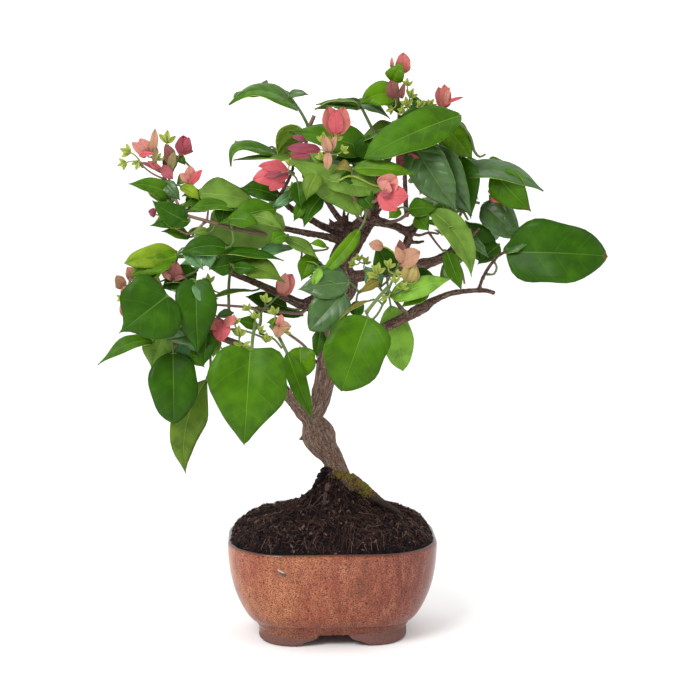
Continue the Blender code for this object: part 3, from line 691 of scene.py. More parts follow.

# %% [markdown]
# ## The glaze
#
# The pot is stoneware with an iron-red glaze, fired until iron in the clay broke through it as dark specks.
# Its tan and orange lie mostly at the pot's left and its maroon at the right, laid on as painted light at the
# left and painted shade at the right.
# The foot was wiped bare before firing, so the clay there is matt and brown. One finish does it all: height
# decides between clay and glaze, with a wavering edge, and noises of three sizes give runs, mottling and
# specks.

# %% Iron-red glaze over brown clay
SPECK = 1 / 0.0008  # noise scale for specks about 0.5 mm wide
MOTTLE = 1 / 0.011
RUN_COLOURS = [(0.3, "#6c2f1c"), (0.45, "#984b33"), (0.56, "#b26649"), (0.7, "#cb8f6a")]
SPECK_COLOURS = [(0.37, "#4a3428"), (0.44, "#a58775"), (0.51, "#eadcd3"), (0.6, "#ffffff")]
glaze, nodes, shader = new_finish("iron_red_glaze_on_stoneware", "#9a5a43", 0.22, IOR=1.45)
place = add_node(nodes, "TexCoord").outputs["Object"]
xyz = add_node(nodes, "SeparateXYZ", [place]).outputs
runs_place = add_node(nodes, "Mapping", {"Vector": place, "Scale": (1.0, 1.0, 0.28)})
run_noise = {"Vector": runs_place, "Scale": MOTTLE * 1.6, "Detail": 6.0, "Roughness": 0.72}
runs = add_node(nodes, "TexNoise", run_noise)
mottle = add_node(nodes, "TexNoise", {"Vector": place, "Scale": MOTTLE / 2, "Detail": 3.0})
speck = add_node(nodes, "TexNoise", {"Vector": place, "Scale": SPECK, "Detail": 2.0, "Roughness": 0.6})
body = add_node(nodes, "ValToRGB", [runs], RUN_COLOURS)
# A range of place gives what it reads, where it starts and ends, in metres, and its values there.
# Painted light and shade: the glaze is lightened to orange towards the left and darkened to maroon towards
# the right.
lit_left_share = add_node(nodes, "MapRange", [xyz["X"], -0.09, 0.06, 1.0, 0.0])
painted_light_left = add_node(nodes, "Math", [lit_left_share, 0.55], operation="MULTIPLY")
lit_orange = add_node(nodes, "ValToRGB", [mottle], [(0.4, "#ac603d"), (0.6, "#c98d5c")])
with_painted_light = add_node(nodes, "Mix", [painted_light_left, body, lit_orange], data_type="RGBA")
painted_shade_right = add_node(nodes, "MapRange", [xyz["X"], -0.03, 0.05, 0.05, 0.62])
with_painted_shade = add_node(nodes, "Mix", [painted_shade_right, with_painted_light, "#6e2c1e"], data_type="RGBA")
low = add_node(nodes, "MapRange", [xyz["Z"], 0.006, 0.024, 0.6, 0.0])
foot_band = add_node(nodes, "Mix", [low, with_painted_shade, "#64352b"], data_type="RGBA")
dark_specks = add_node(nodes, "ValToRGB", [speck], SPECK_COLOURS)
specked = add_node(nodes, "Mix", [0.9, foot_band, dark_specks], data_type="RGBA", blend_type="MULTIPLY")
lip = add_node(nodes, "MapRange", [xyz["Z"], 0.0700, 0.0718])
lipped = add_node(nodes, "Mix", [lip, specked, "#3a2b28"], data_type="RGBA")
# The glaze ends in a wavering line near the top of the feet, a little higher at the right.
waver = add_node(nodes, "Math", [mottle, -0.006], operation="MULTIPLY")
dip = add_node(nodes, "MapRange", [xyz["X"], -0.02, 0.01, 0.0, -0.0028])
lowered = add_node(nodes, "Math", [waver, dip], operation="ADD")
glaze_edge = add_node(nodes, "Math", [xyz["Z"], lowered], operation="ADD")
bare = add_node(nodes, "MapRange", [glaze_edge, 0.0022, 0.0032, 1.0, 0.0])
clay = add_node(nodes, "ValToRGB", [speck], [(0.3, "#5d3a33"), (0.7, "#7d5850")])
coloured = add_node(nodes, "Mix", [bare, lipped, clay], data_type="RGBA")
nodes.links.new(coloured.outputs[2], shader.inputs["Base Color"])
dryness = add_node(nodes, "MapRange", {"Value": bare, "To Min": 0.24, "To Max": 0.85})
nodes.links.new(dryness.outputs["Result"], shader.inputs["Roughness"])
skin_of_glaze = add_node(nodes, "Bump", {"Height": runs, "Strength": 0.35, "Distance": 0.0008})
nodes.links.new(skin_of_glaze.outputs["Normal"], shader.inputs["Normal"])
pot.data.materials.append(glaze)
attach(pot, "root")
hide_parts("pot")
print("finish:", glaze.name)

# %% A scar with a painted glint, and two pits in the glaze
# Each one is a small ball flattened onto the wall, where a sight line from the eye meets the pot.
# The pale flake on the scar is a painted glint: a highlight put on as a pale colour.
chip_finishes = {
    "scar_pale": new_finish("painted_glint_on_chipped_glaze", "#b5a297", 0.3)[0],
    "scar_dark": new_finish("chipped_glaze_bare_clay", "#54403a", 0.8)[0],
    "pit": new_finish("burst_bubble_in_glaze", "#2c1613", 0.4)[0],
}
FLAW_RISE = 0.25
FLAW_LUMPS = 0.25
FLAWS = [  # finish, x, z, width, height and tilt
    ("scar_pale", -37.5, 42.8, 6.0, 1.3, -30), ("scar_dark", -36.3, 40.9, 5.6, 2.6, -25),
    ("pit", -61.2, 23.8, 1.7, 1.7, 0), ("pit", 25.6, 18.6, 1.6, 1.6, 0),
]
bpy.context.view_layer.update()
for number, (kind, x, z, width, height, tilt) in enumerate(FLAWS):
    start = Vector(in_metres(EYE))
    aim = Vector(in_metres(carried(x, z))) - start
    _, spot, outward, _ = pot.ray_cast(start, aim.normalized())
    deselect_all()
    bpy.ops.mesh.primitive_ico_sphere_add(subdivisions=3, radius=1.0)
    flaw = bpy.context.object
    flaw.name = f"glaze_{kind}_{number}"
    frame_of_wall = outward.to_track_quat("Z", "Y").to_matrix()
    turned = Matrix.Rotation(math.radians(tilt), 3, "Z")
    scaled = Matrix.Diagonal((width / 2 * MM, height / 2 * MM, FLAW_RISE * MM))
    for vert in flaw.data.vertices:
        lump = 1.0 + FLAW_LUMPS * noise.noise(vert.co * 2.1 + Vector((number, 0, 0)))
        vert.co = spot + frame_of_wall @ (turned @ (scaled @ (vert.co * lump)))
    flaw.data.materials.append(chip_finishes[kind])
    flaw.data.shade_smooth()
    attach(flaw, "root")
print("flaws in the glaze:", len(FLAWS))

# %% [markdown]
# ## Soil
#
# The root ball is peat and bark with some fibre in it. It is heaped from just under the rim to the trunk's
# foot, nearly black, with a crumbly surface, tan fibres, and moss where the root meets it. The mound is
# another rolled sheet, lifted by noise, and the crumbs, fibres and moss are heaps of small things strewn on
# it.

# %% The mound
SOIL_EDGE_Z = 71.6
SOIL_SHOULDER = 12.5
MOUND_MIDDLE = (2.0, -1.0)
MOUND_RISE = 50.0
MOUND_REACH = 19.0
MOUND_TOP_RADIUS = 8.0
LUMPS = ((1.6, 9.0), (1.3, 3.6), (0.9, 1.7))  # height and width of the soil's lumps, in millimetres
SOIL_STEPS = 64
INNERMOST = 0.985  # how far in from the edge the last ring of the mound lies


def mound_height(x, y, share):
    """Height of the soil, where share is 0 in its middle and 1 at the pot's wall."""
    away = max(math.hypot(x - MOUND_MIDDLE[0], y - MOUND_MIDDLE[1]), MOUND_TOP_RADIUS)
    shoulder = SOIL_SHOULDER * (1.0 - share**9)
    return SOIL_EDGE_Z + shoulder + MOUND_RISE * math.exp(-away / MOUND_REACH) * (1 - share**8)


def soil_relief(x, y):
    """Lumps and crumbs of the soil's surface."""
    return sum(rise * noise.noise(Vector((x, y, 0.0)) / width) for rise, width in LUMPS)


def soil_height(x, y, share):
    """Height of the mound with its lumps, which are lower beside the rim."""
    return mound_height(x, y, share) + soil_relief(x, y) * min(1.0, 0.35 + (1 - share) * 12)


edge = pot_ring(WALL - 2.1, SOIL_EDGE_Z)
rings = [pot_ring(WALL + 3.0, SOIL_EDGE_Z - 12.0), pot_ring(WALL + 0.5, SOIL_EDGE_Z - 2.5)]
for step in range(SOIL_STEPS + 1):
    share = 1.0 - INNERMOST * step / SOIL_STEPS
    ring = edge * (share, share, 1.0)
    ring[:, 2] = [soil_height(x, y, share) for x, y, _ in ring]
    rings.append(ring)
soil = rolled("potting_soil", rings)
deselect_all()
soil.select_set(True)
bpy.context.view_layer.objects.active = soil
bpy.ops.object.mode_set(mode="EDIT")
bpy.ops.mesh.select_all(action="DESELECT")
bpy.ops.mesh.select_non_manifold()
bpy.ops.mesh.edge_face_add()
bpy.ops.object.mode_set(mode="OBJECT")
print("soil, faces:", len(soil.data.polygons))

# %% The soil's finish
# Damp peat is nearly black and matt, with a little gloss.
PEAT_GRAIN = 1 / 0.003
peat, nodes, shader = new_finish("peat_and_bark_damp", "#211719", 0.9, Specular_IOR_Level=0.1)
place = add_node(nodes, "TexCoord").outputs["Object"]
grains = add_node(nodes, "TexNoise", {"Vector": place, "Scale": PEAT_GRAIN, "Detail": 6.0, "Roughness": 0.75})
PEAT_COLOURS = [(0.38, "#080506"), (0.52, "#170f11"), (0.62, "#2b1e1d"), (0.72, "#4a352c")]
shades = add_node(nodes, "ValToRGB", [grains], PEAT_COLOURS)
nodes.links.new(shades.outputs["Color"], shader.inputs["Base Color"])
clods = add_node(nodes, "Bump", {"Height": grains, "Strength": 0.9, "Distance": 0.0012})
nodes.links.new(clods.outputs["Normal"], shader.inputs["Normal"])
soil.data.materials.append(peat)
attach(soil, "root")
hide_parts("soil")

# %% Crumbs, fibres and moss strewn on the mound
CRUMBS = 4200
FIBRES = 3000
TUFTS = 700
CLODS = 230
SEED = 41
CRUMB_SIZE, CRUMB_SPREAD = 0.35, 1.5
CLING_TOP, CLING_DEPTH = 122.0, 25.0  # clods cling to the root up to that height, and that far down
FIBRE_LENGTHS, FIBRE_RADII = (2.5, 13.0), (0.08, 0.22)
FIBRE_STEPS = 5
STREWN_TO, OUTERMOST = 0.995, 0.998  # shares of the way to the soil's edge; no fibre runs past the second
MOSS_PATCHES = [(10, -6, 113, 8.0), (20, -9, 109, 7.0), (5, -9, 115, 5.0), (26, -8, 103, 6.0)]
TUFT_RADII = (0.42, 0.34, 0.12)
edge_turns = np.arctan2(edge[:, 1], edge[:, 0])
edge_reach = np.hypot(edge[:, 0], edge[:, 1])


def edge_at(angle):
    """How far the soil's edge is from the pot's middle in a direction."""
    return float(np.interp(angle, edge_turns, edge_reach, period=2 * math.pi))


def ground(x, y):
    """A point on the soil's surface above x and y, in millimetres, and the share of the way to its edge."""
    share = min(math.hypot(x, y) / edge_at(math.atan2(y, x)), 1.0)
    return np.array((x, y, soil_height(x, y, share))), share


def strewn(dice):
    """A random place on the mound."""
    angle = dice.uniform(-math.pi, math.pi)
    reach = edge_at(angle) * STREWN_TO * math.sqrt(dice.random())
    return reach * math.cos(angle), reach * math.sin(angle)


deselect_all()
bpy.ops.mesh.primitive_ico_sphere_add(subdivisions=1, radius=1.0)
ball = bpy.context.object
crumb_points = np.array([vert.co for vert in ball.data.vertices])
crumb_faces = [list(face.vertices) for face in ball.data.polygons]
bpy.data.objects.remove(ball)

dice = random.Random(SEED)
crumbs = Heap()
for number in range(CRUMBS):
    size = CRUMB_SIZE + CRUMB_SPREAD * dice.random() ** 3
    stretch = np.array((dice.uniform(0.7, 1.9), dice.uniform(0.6, 1.1), dice.uniform(0.5, 0.9)))
    heading = Vector((dice.uniform(-1, 1), dice.uniform(-1, 1), 0.4))
    turn = np.array(heading.to_track_quat("X", "Z").to_matrix())
    lumpy = crumb_points * stretch * np.array([[dice.uniform(0.7, 1.2)] for _ in crumb_points])
    lumpy = lumpy @ turn.T * size + ground(*strewn(dice))[0]
    crumbs.add(lumpy, crumb_faces, dice.choices((0, 1, 2), (6, 3, 1.5))[0])

# Soil that clings to the foot of the trunk on its left.
for number in range(CLODS):
    z = dice.uniform(CLING_TOP - CLING_DEPTH, CLING_TOP)
    x = dice.gauss(-5.0 - 0.38 * (CLING_TOP - z), 3.0)
    row = samples[tree.find(carried(x, z, -6.0))[1]]
    away = unit(carried(x, z, -6.0) - row[:3] + (0, -0.3, 0))
    size = dice.uniform(0.5, 1.7)
    clod = crumb_points * size * (1.3, 0.9, 0.9) + row[:3] + away * (row[3] + 0.3)
    crumbs.add(clod, crumb_faces, dice.choice((0, 0, 1)))

fibres = Heap()
for number in range(FIBRES):
    x, y = strewn(dice)
    heading, length = dice.uniform(0, 2 * math.pi), dice.uniform(*FIBRE_LENGTHS)
    rows = []
    for step in range(FIBRE_STEPS + 1):
        spot, share = ground(x, y)
        if share > OUTERMOST:
            break
        rows.append(spot + (0, 0, 0.2 + 1.3 * dice.random() * (step not in (0, FIBRE_STEPS))))
        heading += dice.uniform(-0.5, 0.5)
        x += math.cos(heading) * length / FIBRE_STEPS
        y += math.sin(heading) * length / FIBRE_STEPS
    if len(rows) > 2:
        thick = dice.uniform(*FIBRE_RADII)
        path = smooth(rows, 1.6)
        radii = np.linspace(thick, thick * 0.5, len(path))
        fibres.add(*tube(path, radii, 4), dice.choices((0, 1, 2), (6, 1, 4))[0])

# Moss sits where the thick root leaves the trunk's foot, and a little of it lies on the mound.
moss = Heap()
for number in range(TUFTS):
    px, py, pz, spread = MOSS_PATCHES[number % len(MOSS_PATCHES)]
    point = carried(px + dice.gauss(0, spread * 0.45), pz + dice.gauss(0, spread * 0.3), py)
    row = samples[tree.find(point)[1]]
    away = unit(point - row[:3] + (0, -0.8, 0.8))
    foot = row[:3] + away * (row[3] + 0.1)
    tip = foot + away * dice.uniform(0.6, 1.5) + (dice.uniform(-0.5, 0.5), dice.uniform(-0.5, 0.5), 0.4)
    rows = np.array((foot, (foot + tip) / 2 + (0, 0, 0.1), tip))
    moss.add(*tube(rows, TUFT_RADII, 4), dice.choices((0, 1, 2), (3, 2, 3))[0])

LITTER = {  # heap, and name, colour and roughness of each of its finishes
    "soil_crumbs": (crumbs, (
        ("peat_crumb_black", "#100b0c", 0.85), ("bark_crumb_brown", "#322323", 0.85),
        ("bark_crumb_grey", "#5d4b42", 0.8),
    )),
    "soil_fibres": (fibres, (
        ("coir_fibre_brown", "#523b32", 0.75), ("coir_fibre_tan", "#84685a", 0.7),
        ("dead_root_dark", "#2f2021", 0.8),
    )),
    "soil_moss": (moss, (
        ("moss_olive", "#8d8440", 0.9), ("moss_green", "#6f8034", 0.9), ("moss_rusty", "#85572f", 0.9),
    )),
}
for name, (heap, looks) in LITTER.items():
    piece = heap.piece(name, [new_finish(*look, Specular_IOR_Level=0.12)[0] for look in looks])
    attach(piece, "root")
    print(name, "faces:", len(piece.data.polygons))

# %% [markdown]
# ## Leaves
#
# A bougainvillea leaf is a soft heart or egg with a drawn-out tip, 20 to 75 mm long. Side veins leave the
# midrib and sweep forward, and the blade puffs up a little between them. So the blade is a sheet whose rows
# follow the veins: a narrow row for each vein, with wider rows between, and a narrow column for the midrib.
# That puts every vein in the mesh itself, with a paler finish on its faces. One function makes the flat blade
# and another bends it: along its midrib, along the fold between its halves, and in waves at its edge.

# %% The flat blade
# Outlines: share of the length, and share of the half width, from the foot round one side to the tip.
HEART = [
    (0.0, 0.0), (-0.035, 0.16), (-0.06, 0.40), (-0.02, 0.70), (0.09, 0.92), (0.25, 1.0), (0.42, 0.97),
    (0.56, 0.83), (0.69, 0.61), (0.79, 0.41), (0.88, 0.235), (0.95, 0.12), (0.985, 0.05), (1.0, 0.0),
]
ROUND = [
    (0.0, 0.0), (0.0, 0.20), (0.02, 0.48), (0.10, 0.78), (0.24, 0.97), (0.42, 1.0), (0.60, 0.94),
    (0.75, 0.78), (0.87, 0.54), (0.95, 0.30), (0.99, 0.11), (1.0, 0.0),
]
DRIP = [  # a rounded blade drawn out into a narrow tip
    (0.0, 0.0), (-0.05, 0.20), (-0.05, 0.50), (0.05, 0.82), (0.20, 0.98), (0.38, 1.0), (0.53, 0.92),
    (0.65, 0.72), (0.74, 0.44), (0.81, 0.24), (0.88, 0.12), (0.95, 0.045), (1.0, 0.0),
]
EGG = [
    (0.0, 0.0), (0.0, 0.14), (0.03, 0.42), (0.12, 0.76), (0.26, 0.97), (0.38, 1.0), (0.54, 0.90),
    (0.70, 0.66), (0.82, 0.39), (0.91, 0.17), (0.96, 0.07), (1.0, 0.0),
]
LANCE = [
    (0.0, 0.0), (0.03, 0.18), (0.14, 0.62), (0.30, 0.93), (0.45, 1.0), (0.62, 0.86), (0.78, 0.54),
    (0.90, 0.21), (1.0, 0.0),
]
PETAL = [
    (0.0, 0.0), (0.0, 0.24), (0.06, 0.56), (0.20, 0.86), (0.42, 1.0), (0.64, 0.93), (0.82, 0.66),
    (0.93, 0.33), (1.0, 0.0),
]
OUTLINES = {"heart": HEART, "round": ROUND, "drip": DRIP, "egg": EGG, "lance": LANCE, "petal": PETAL}
VEIN_SHARE = 0.003
PLAIN_ROWS = [0.2, 0.38, 0.56, 0.74]
RIB_HALF = 0.42
OUTLINE_STEP = 2.0
RIPPLE = 0.05  # how much the outline wanders, as a share of the half width
RIPPLES_ALONG, WAVES_ALONG = 11, 7.5
SKYWARD = (0.01, 0.0, 1.0)


def flat_blade(outline, aspect, veins, columns):
    """A flat blade of length 1 and half width 1, whose rows follow its veins.

    Returns for each point its share of the length, of the half width and across its half, its side and how
    much it puffs up, and then the faces, and for each face whether it's 0 blade, 1 midrib or 2 vein.
    """
    margin = smooth([(s * 100, w * 100 * aspect, 0.0) for s, w in outline], OUTLINE_STEP)
    margin = margin[:, :2] / (100, 100 * aspect)
    steps = np.hypot(*(np.diff(margin, axis=0) * (1, aspect)).T)
    share = np.concatenate(([0.0], np.cumsum(steps))) / steps.sum()
    rows, vein_gap, puff = [0.0, 0.06], [False], [0.0, 0.6]
    places = np.linspace(0.15, 0.8, veins)
    for place, following in zip(places, [*places[1:], 0.88]):
        rows += [place - VEIN_SHARE, place + VEIN_SHARE, (place + following) / 2]
        vein_gap += [False, True, False]
        puff += [0.0, 0.0, 1.0]
    if not veins:
        rows += PLAIN_ROWS
        vein_gap += [False] * len(PLAIN_ROWS)
        puff += [0.9] * len(PLAIN_ROWS)
    rows = np.array(rows + [0.9, 0.96, 1.0])
    vein_gap += [False] * 3
    puff = np.array(puff + [0.5, 0.2, 0.0])
    along, wide = np.interp(rows, share, margin[:, 0]), np.interp(rows, share, margin[:, 1])
    lag = along - 0.75 * aspect * wide
    middle = (lag + np.sqrt(lag * lag + 0.004)) / 2
    middle = (middle - middle[0]) / (middle[-1] - middle[0])
    over = np.linspace(0.0, 1.0, columns + 1)
    side = np.concatenate((-np.ones(columns + 1), np.ones(columns + 1)))
    over = np.concatenate((over[::-1], over))
    length = middle[:, None] + (along - middle)[:, None] * (0.6 * over + 0.4 * over**2)
    grid = [
        length, np.repeat(wide[:, None], len(over), 1), np.repeat(over[None], len(rows), 0),
        np.repeat(side[None], len(rows), 0), puff[:, None] * np.sin(math.pi * over[None] ** 0.8) ** 0.8,
    ]
    faces, kinds = [], []
    for row in range(len(rows) - 1):
        for column in range(len(over) - 1):
            corner = row * len(over) + column
            faces.append([corner, corner + len(over), corner + 1 + len(over), corner + 1])
            kinds.append(1 if column == columns else 2 if vein_gap[row] else 0)
    return [part.ravel() for part in grid], faces, kinds


blade_store = {}


def stored_blade(outline, aspect, veins, columns):
    """Flat blades are made once for each outline and rough aspect."""
    key = (outline, round(aspect, 1), veins, columns)
    if key not in blade_store:
        blade_store[key] = flat_blade(OUTLINES[outline], max(key[1], 0.1), veins, columns)
    return blade_store[key]


# %% Bending a blade to its place


def bent_blade(
    foot, tip, wide, roll=0.0, fold=12.0, arch=3.0, bend=0.0, hook=0.5, twist=0.0, cup=-0.1, wave=1.6,
    outline="egg", veins=6, columns=4, phase=0.0, quilt=0.75, rib=RIB_HALF, face=None,
):
    """A blade from foot to tip, in millimetres. Angles are in degrees.

    roll turns its face from the eye (0) to the sky or the right (90), and past that away from the eye; face
    is a direction it faces instead. fold lifts both halves about the midrib, arch lifts the midrib's middle,
    bend bows it sideways, and hook says where. wave lifts and sinks the edge, and quilt is how far the blade
    puffs up between its veins.
    """
    foot, tip = np.asarray(foot, float), np.asarray(tip, float)
    chord = np.linalg.norm(tip - foot)
    line = (tip - foot) / chord
    half = wide / 2
    (length, width, over, side, puff), faces, kinds = stored_blade(outline, half / chord, veins, columns)
    to_eye = EYE - (foot + tip) / 2 if face is None else np.asarray(face, float)
    facing = unit(to_eye - line * to_eye.dot(line))
    beside = np.cross(facing, line)
    upward = beside if beside.dot(SKYWARD) > 0 else -beside
    turn = math.radians(roll)
    normal = facing * math.cos(turn) + upward * math.sin(turn)
    beside = np.cross(normal, line)
    bow = beside if beside.dot(SKYWARD) > 0 else -beside
    pull = foot + line * chord * hook + normal * 2 * arch + bow * 2 * bend
    s = length[:, None]
    middle = (1 - s) ** 2 * foot + 2 * s * (1 - s) * pull + s * s * tip
    tangent = unit(2 * (1 - s) * (pull - foot) + 2 * s * (tip - pull))
    across = unit(beside - tangent * (tangent @ beside)[:, None])
    up = np.cross(tangent, across)
    turned = np.radians(twist) * s
    across, up = across * np.cos(turned) + up * np.sin(turned), up * np.cos(turned) - across * np.sin(turned)
    ribs = rib * (1.0 - 0.75 * np.clip(length, 0, 1))
    reach = ribs + (np.maximum(width * half, ribs * 1.1) - ribs) * over
    reach = reach * (1 + RIPPLE * over**2 * np.sin(RIPPLES_ALONG * length + 2 * phase + 2.1 * side))
    rise = quilt * puff * min(1.0, half / 9.0) - 0.3 * (over == 0) + cup * half * over**2
    waves = np.sin(WAVES_ALONG * length + phase + 1.3 * side) * np.clip(width, 0, 1)
    rise = rise + wave * min(1.0, half / 10.0) * over**2 * waves
    lift = math.radians(fold)
    points = middle + across * (side * reach * math.cos(lift))[:, None]
    points += up * (reach * math.sin(lift) + rise)[:, None]
    return points, faces, kinds


print("faces in one blade:", len(stored_blade("egg", 0.4, 6, 4)[1]))

# %% [markdown]
# ## The leaves that face us
#
# Leaves differ in age: young ones are lime or brownish, old ones deep green, and some have a bluish bloom.
# The
# glow tone is painted light: a brighter green for leaves that light shines through from behind.
# Undersides are paler and more matt, and veins are paler than the blade. Every tone is a plain colour with a
# little mottling, dealt out leaf by leaf. The large leaves on the near side are placed one by one, from the
# foot of the blade to its tip, because their lie is what gives this tree its own outline.

# %% Leaf finishes
TONES = {  # upper side, underside
    "deep": ("#2b5403", "#52742a"),
    "mid": ("#3f6a04", "#60812f"),
    "fresh": ("#527d04", "#6c8c2e"),
    "pale": ("#658631", "#7a964e"),
    "lime": ("#76921a", "#69862a"),
    # glow is painted light: a brighter green for leaves lit through from behind
    "glow": ("#79a838", "#7c9f48"),
    "olive": ("#5a7622", "#5d762a"),
    "blue": ("#3a6022", "#678655"),
    "bloom": ("#527f4c", "#75956a"),
    "young": ("#7a6c30", "#807445"),
    "scorch": ("#6f4f28", "#7c6038"),
}
TONE_NAMES = list(TONES)
PALE_RIB = "#a9bf6a"
LEAF_CLOUDS = 85.0  # noise scale for clouds about 12 mm wide
CLOUD_DARK, CLOUD_PALE = "#1c2c08", "#8fae3c"
GLOSSY_TONES = ("blue", "bloom")
SIDES = {  # share of the pale rib colour, mottling and roughness
    "upper": (0.0, 0.3, 0.4),
    "vein": (0.07, 0.1, 0.45),
    "rib": (0.3, 0.08, 0.45),
    "under": (0.0, 0.12, 0.62),
}


def blended(first, second, share):
    """Two hex colours mixed: share is how much of the second there is."""
    pairs = [(int(first[p : p + 2], 16), int(second[p : p + 2], 16)) for p in (1, 3, 5)]
    return "#" + "".join(f"{round(a + (b - a) * share):02x}" for a, b in pairs)


def soft_finish(name, colour, roughness, mottle, scale, **sockets):
    """Soft plant skin: one colour, with faint darker clouds so that no blade looks like plastic."""
    made, tree_of, shader = new_finish(name, colour, roughness, **sockets)
    place = add_node(tree_of, "TexCoord").outputs["Object"]
    spots = add_node(tree_of, "TexNoise", {"Vector": place, "Scale": scale, "Detail": 5.0})
    dark, pale = blended(colour, CLOUD_DARK, mottle), blended(colour, CLOUD_PALE, mottle / 3)
    ramp = add_node(tree_of, "ValToRGB", [spots], [(0.34, dark), (0.56, colour), (0.7, pale)])
    tree_of.links.new(ramp.outputs["Color"], shader.inputs["Base Color"])
    return made


# Upper sides have a thin waxy cuticle, so they catch a soft sheen; undersides are matt with fine down.
leaf_finishes = [
    soft_finish(
        f"leaf_{tone}_{side}", blended(TONES[tone][side == "under"], PALE_RIB, share), rough, mottle,
        LEAF_CLOUDS, Specular_IOR_Level=0.6 if tone in GLOSSY_TONES else 0.12,
    )
    for side, (share, mottle, rough) in SIDES.items()
    for tone in TONES
]
# Leaf edges get a pale finish: partly the blade's own paler margin, partly painted rim light where light
# shows through the edge.
margin = new_finish("leaf_margin_pale_and_rim_light", "#9db84e", 0.5, Specular_IOR_Level=0.2)[0]
print("leaf finishes:", len(leaf_finishes) + 1)

# %% Placing a leaf
near_leaves = Heap()
leaf_feet = []
BLADE_THICKNESS = 0.0004


def blade_slots(tone, kinds):
    """The finish of each face of a blade: the finishes lie tone by tone for blade, vein and rib."""
    return [TONE_NAMES.index(tone) + len(TONES) * (0, 2, 1)[kind] for kind in kinds]


def leaf(foot, tip, wide, tone, stalk=True, burn=0.0, **shape):
    """A leaf from foot to tip, each as x, z and depth. burn is the share of its length that's scorched."""
    start, end = carried(*foot), carried(*tip)
    shape.setdefault("phase", foot[0] * 0.7 + foot[1])
    points, faces, kinds = bent_blade(start, end, wide, **shape)
    slots = blade_slots(tone, kinds)
    if burn:
        limit = np.linalg.norm(end - start) * (1 - burn)
        along = (points - start) @ unit(end - start)
        across = np.sin(points @ (0.9, 0.4, 0.7)) * 2.5
        scorched = blade_slots("scorch", kinds)
        for place, face in enumerate(faces):
            if (along + across)[face].mean() > limit:
                slots[place] = scorched[place]
    near_leaves.add(points, faces, slots)
    if stalk:
        leaf_feet.append((start, unit(points[len(points) // 4 :].mean(0) - start)))


# %% Top, left
leaf((-27, 385, 2), (-73, 385, -8), 27, "mid", roll=64, fold=8, arch=11, hook=0.6, outline="heart")
leaf((-30, 391, 0), (-16, 392, -4), 8, "blue", roll=40, arch=2, stalk=False)
leaf((20, 382, 0), (-12, 382, -4), 22, "olive", roll=105, arch=3)
leaf((21, 384, 0), (-11, 385, -3), 9, "blue", roll=40, arch=2)
leaf((20, 385, 2), (42, 375, 0), 10, "blue", roll=50)
leaf((27, 353, -5), (-30, 366, -12), 30, "mid", roll=45, arch=3)
leaf((26, 349, -2), (2, 346, -8), 16, "deep", roll=30)
leaf((-20, 366, -4), (-39, 349, -10), 22, "lime", roll=150, arch=6)
leaf((-38, 349, -6), (-72, 341, -15), 22, "mid", roll=65, arch=13, hook=1.0)
leaf((-8, 341, -12), (-70, 346, -18), 16, "pale", roll=68, arch=4)
leaf((24, 316, -30), (-30, 346, -38), 28, "pale", roll=20, fold=-5, arch=4, outline="heart", stalk=False)
leaf((-4, 331, -36), (36, 324, -42), 17, "pale", roll=20, outline="petal")
leaf((10, 324, -30), (22, 305, -34), 14, "pale", roll=10)
leaf((-10, 336, -38), (-18, 317, -44), 14, "olive", roll=20)
leaf((-24, 330, -30), (-22, 311, -34), 14, "deep")
leaf((-7, 320, -26), (-20, 298, -32), 16, "deep", roll=30, fold=25)
leaf((-19, 317, -28), (-27, 302, -30), 9, "mid")
leaf((-30, 320, -30), (-42, 312, -34), 8, "bloom")
leaf((-94, 322, -30), (-52, 315, -24), 26, "pale", roll=38, arch=3, stalk=False)
leaf((-38, 320, -16), (-66, 326, -22), 18, "deep", roll=35)
leaf((-115, 321, -30), (-145, 329, -42), 15, "mid", roll=30, arch=5, stalk=False)
leaf((-131, 328, -30), (-112, 309, -33), 10, "olive", roll=15, stalk=False)
leaf((-107, 327, -29), (-94, 317, -34), 10, "lime", roll=30)
leaf((-118, 315, -28), (-126, 322, -30), 9, "deep", roll=20)
leaf((-119, 330, -30), (-108, 317, -34), 11, "blue", stalk=False)
leaf((-93, 322, -26), (-107, 320, -30), 9, "olive", roll=30)
leaf((-91, 316, -26), (-107, 312, -30), 7, "mid", roll=30)
leaf((-117, 342, -16), (-119, 351, -18), 9, "young", roll=20)
leaf((-114, 350, -16), (-116, 357, -18), 6, "young")
leaf((-108, 348, -18), (-104, 342, -20), 6, "mid")
leaf((-101, 334, -18), (-111, 327, -22), 8, "olive", roll=30)

# %% The pad on the left
leaf((-70, 311, -36), (-104, 309, -44), 14, "mid", roll=50, arch=5)
leaf((-76, 313, -34), (-80, 299, -38), 12, "deep")
leaf((-40, 311, -32), (-82, 300, -42), 20, "mid", roll=40)
leaf((-73, 304, -46), (-52, 300, -50), 14, "mid", roll=30, stalk=False)
leaf((-55, 306, -42), (-35, 297, -46), 11, "pale", roll=35)
leaf((-33, 292, -44), (-45, 286, -48), 11, "mid", roll=20)
leaf((-104, 303, -44), (-128, 317, -54), 17, "deep", roll=10, bend=-2)
leaf((-102, 302, -44), (-130, 299, -52), 12, "deep", roll=25)
leaf((-102, 291, -38), (-122, 295, -46), 10, "mid", roll=30)
leaf((-88, 294, -42), (-101, 293, -48), 6, "pale", roll=20)
leaf((-76, 283, -50), (-110, 279, -60), 18, "deep", roll=30, arch=6)
leaf((-36, 295, -24), (-98, 293, -34), 30, "glow", roll=155, arch=2, outline="heart")
leaf((-28, 283, -30), (-60, 274, -36), 13, "bloom", roll=55)
leaf((-84, 280, -44), (-34, 274, -50), 12, "deep", roll=55)
leaf((-68, 270, -42), (-33, 258, -48), 18, "olive", roll=35, arch=6)
leaf((-73, 271, -50), (-88, 268, -56), 14, "deep")
leaf((-70, 269, -50), (-53, 268, -54), 9, "deep")
leaf((-104, 282, -54), (-92, 267, -58), 13, "bloom", roll=15)
leaf((-90, 281, -56), (-87, 268, -60), 13, "bloom")

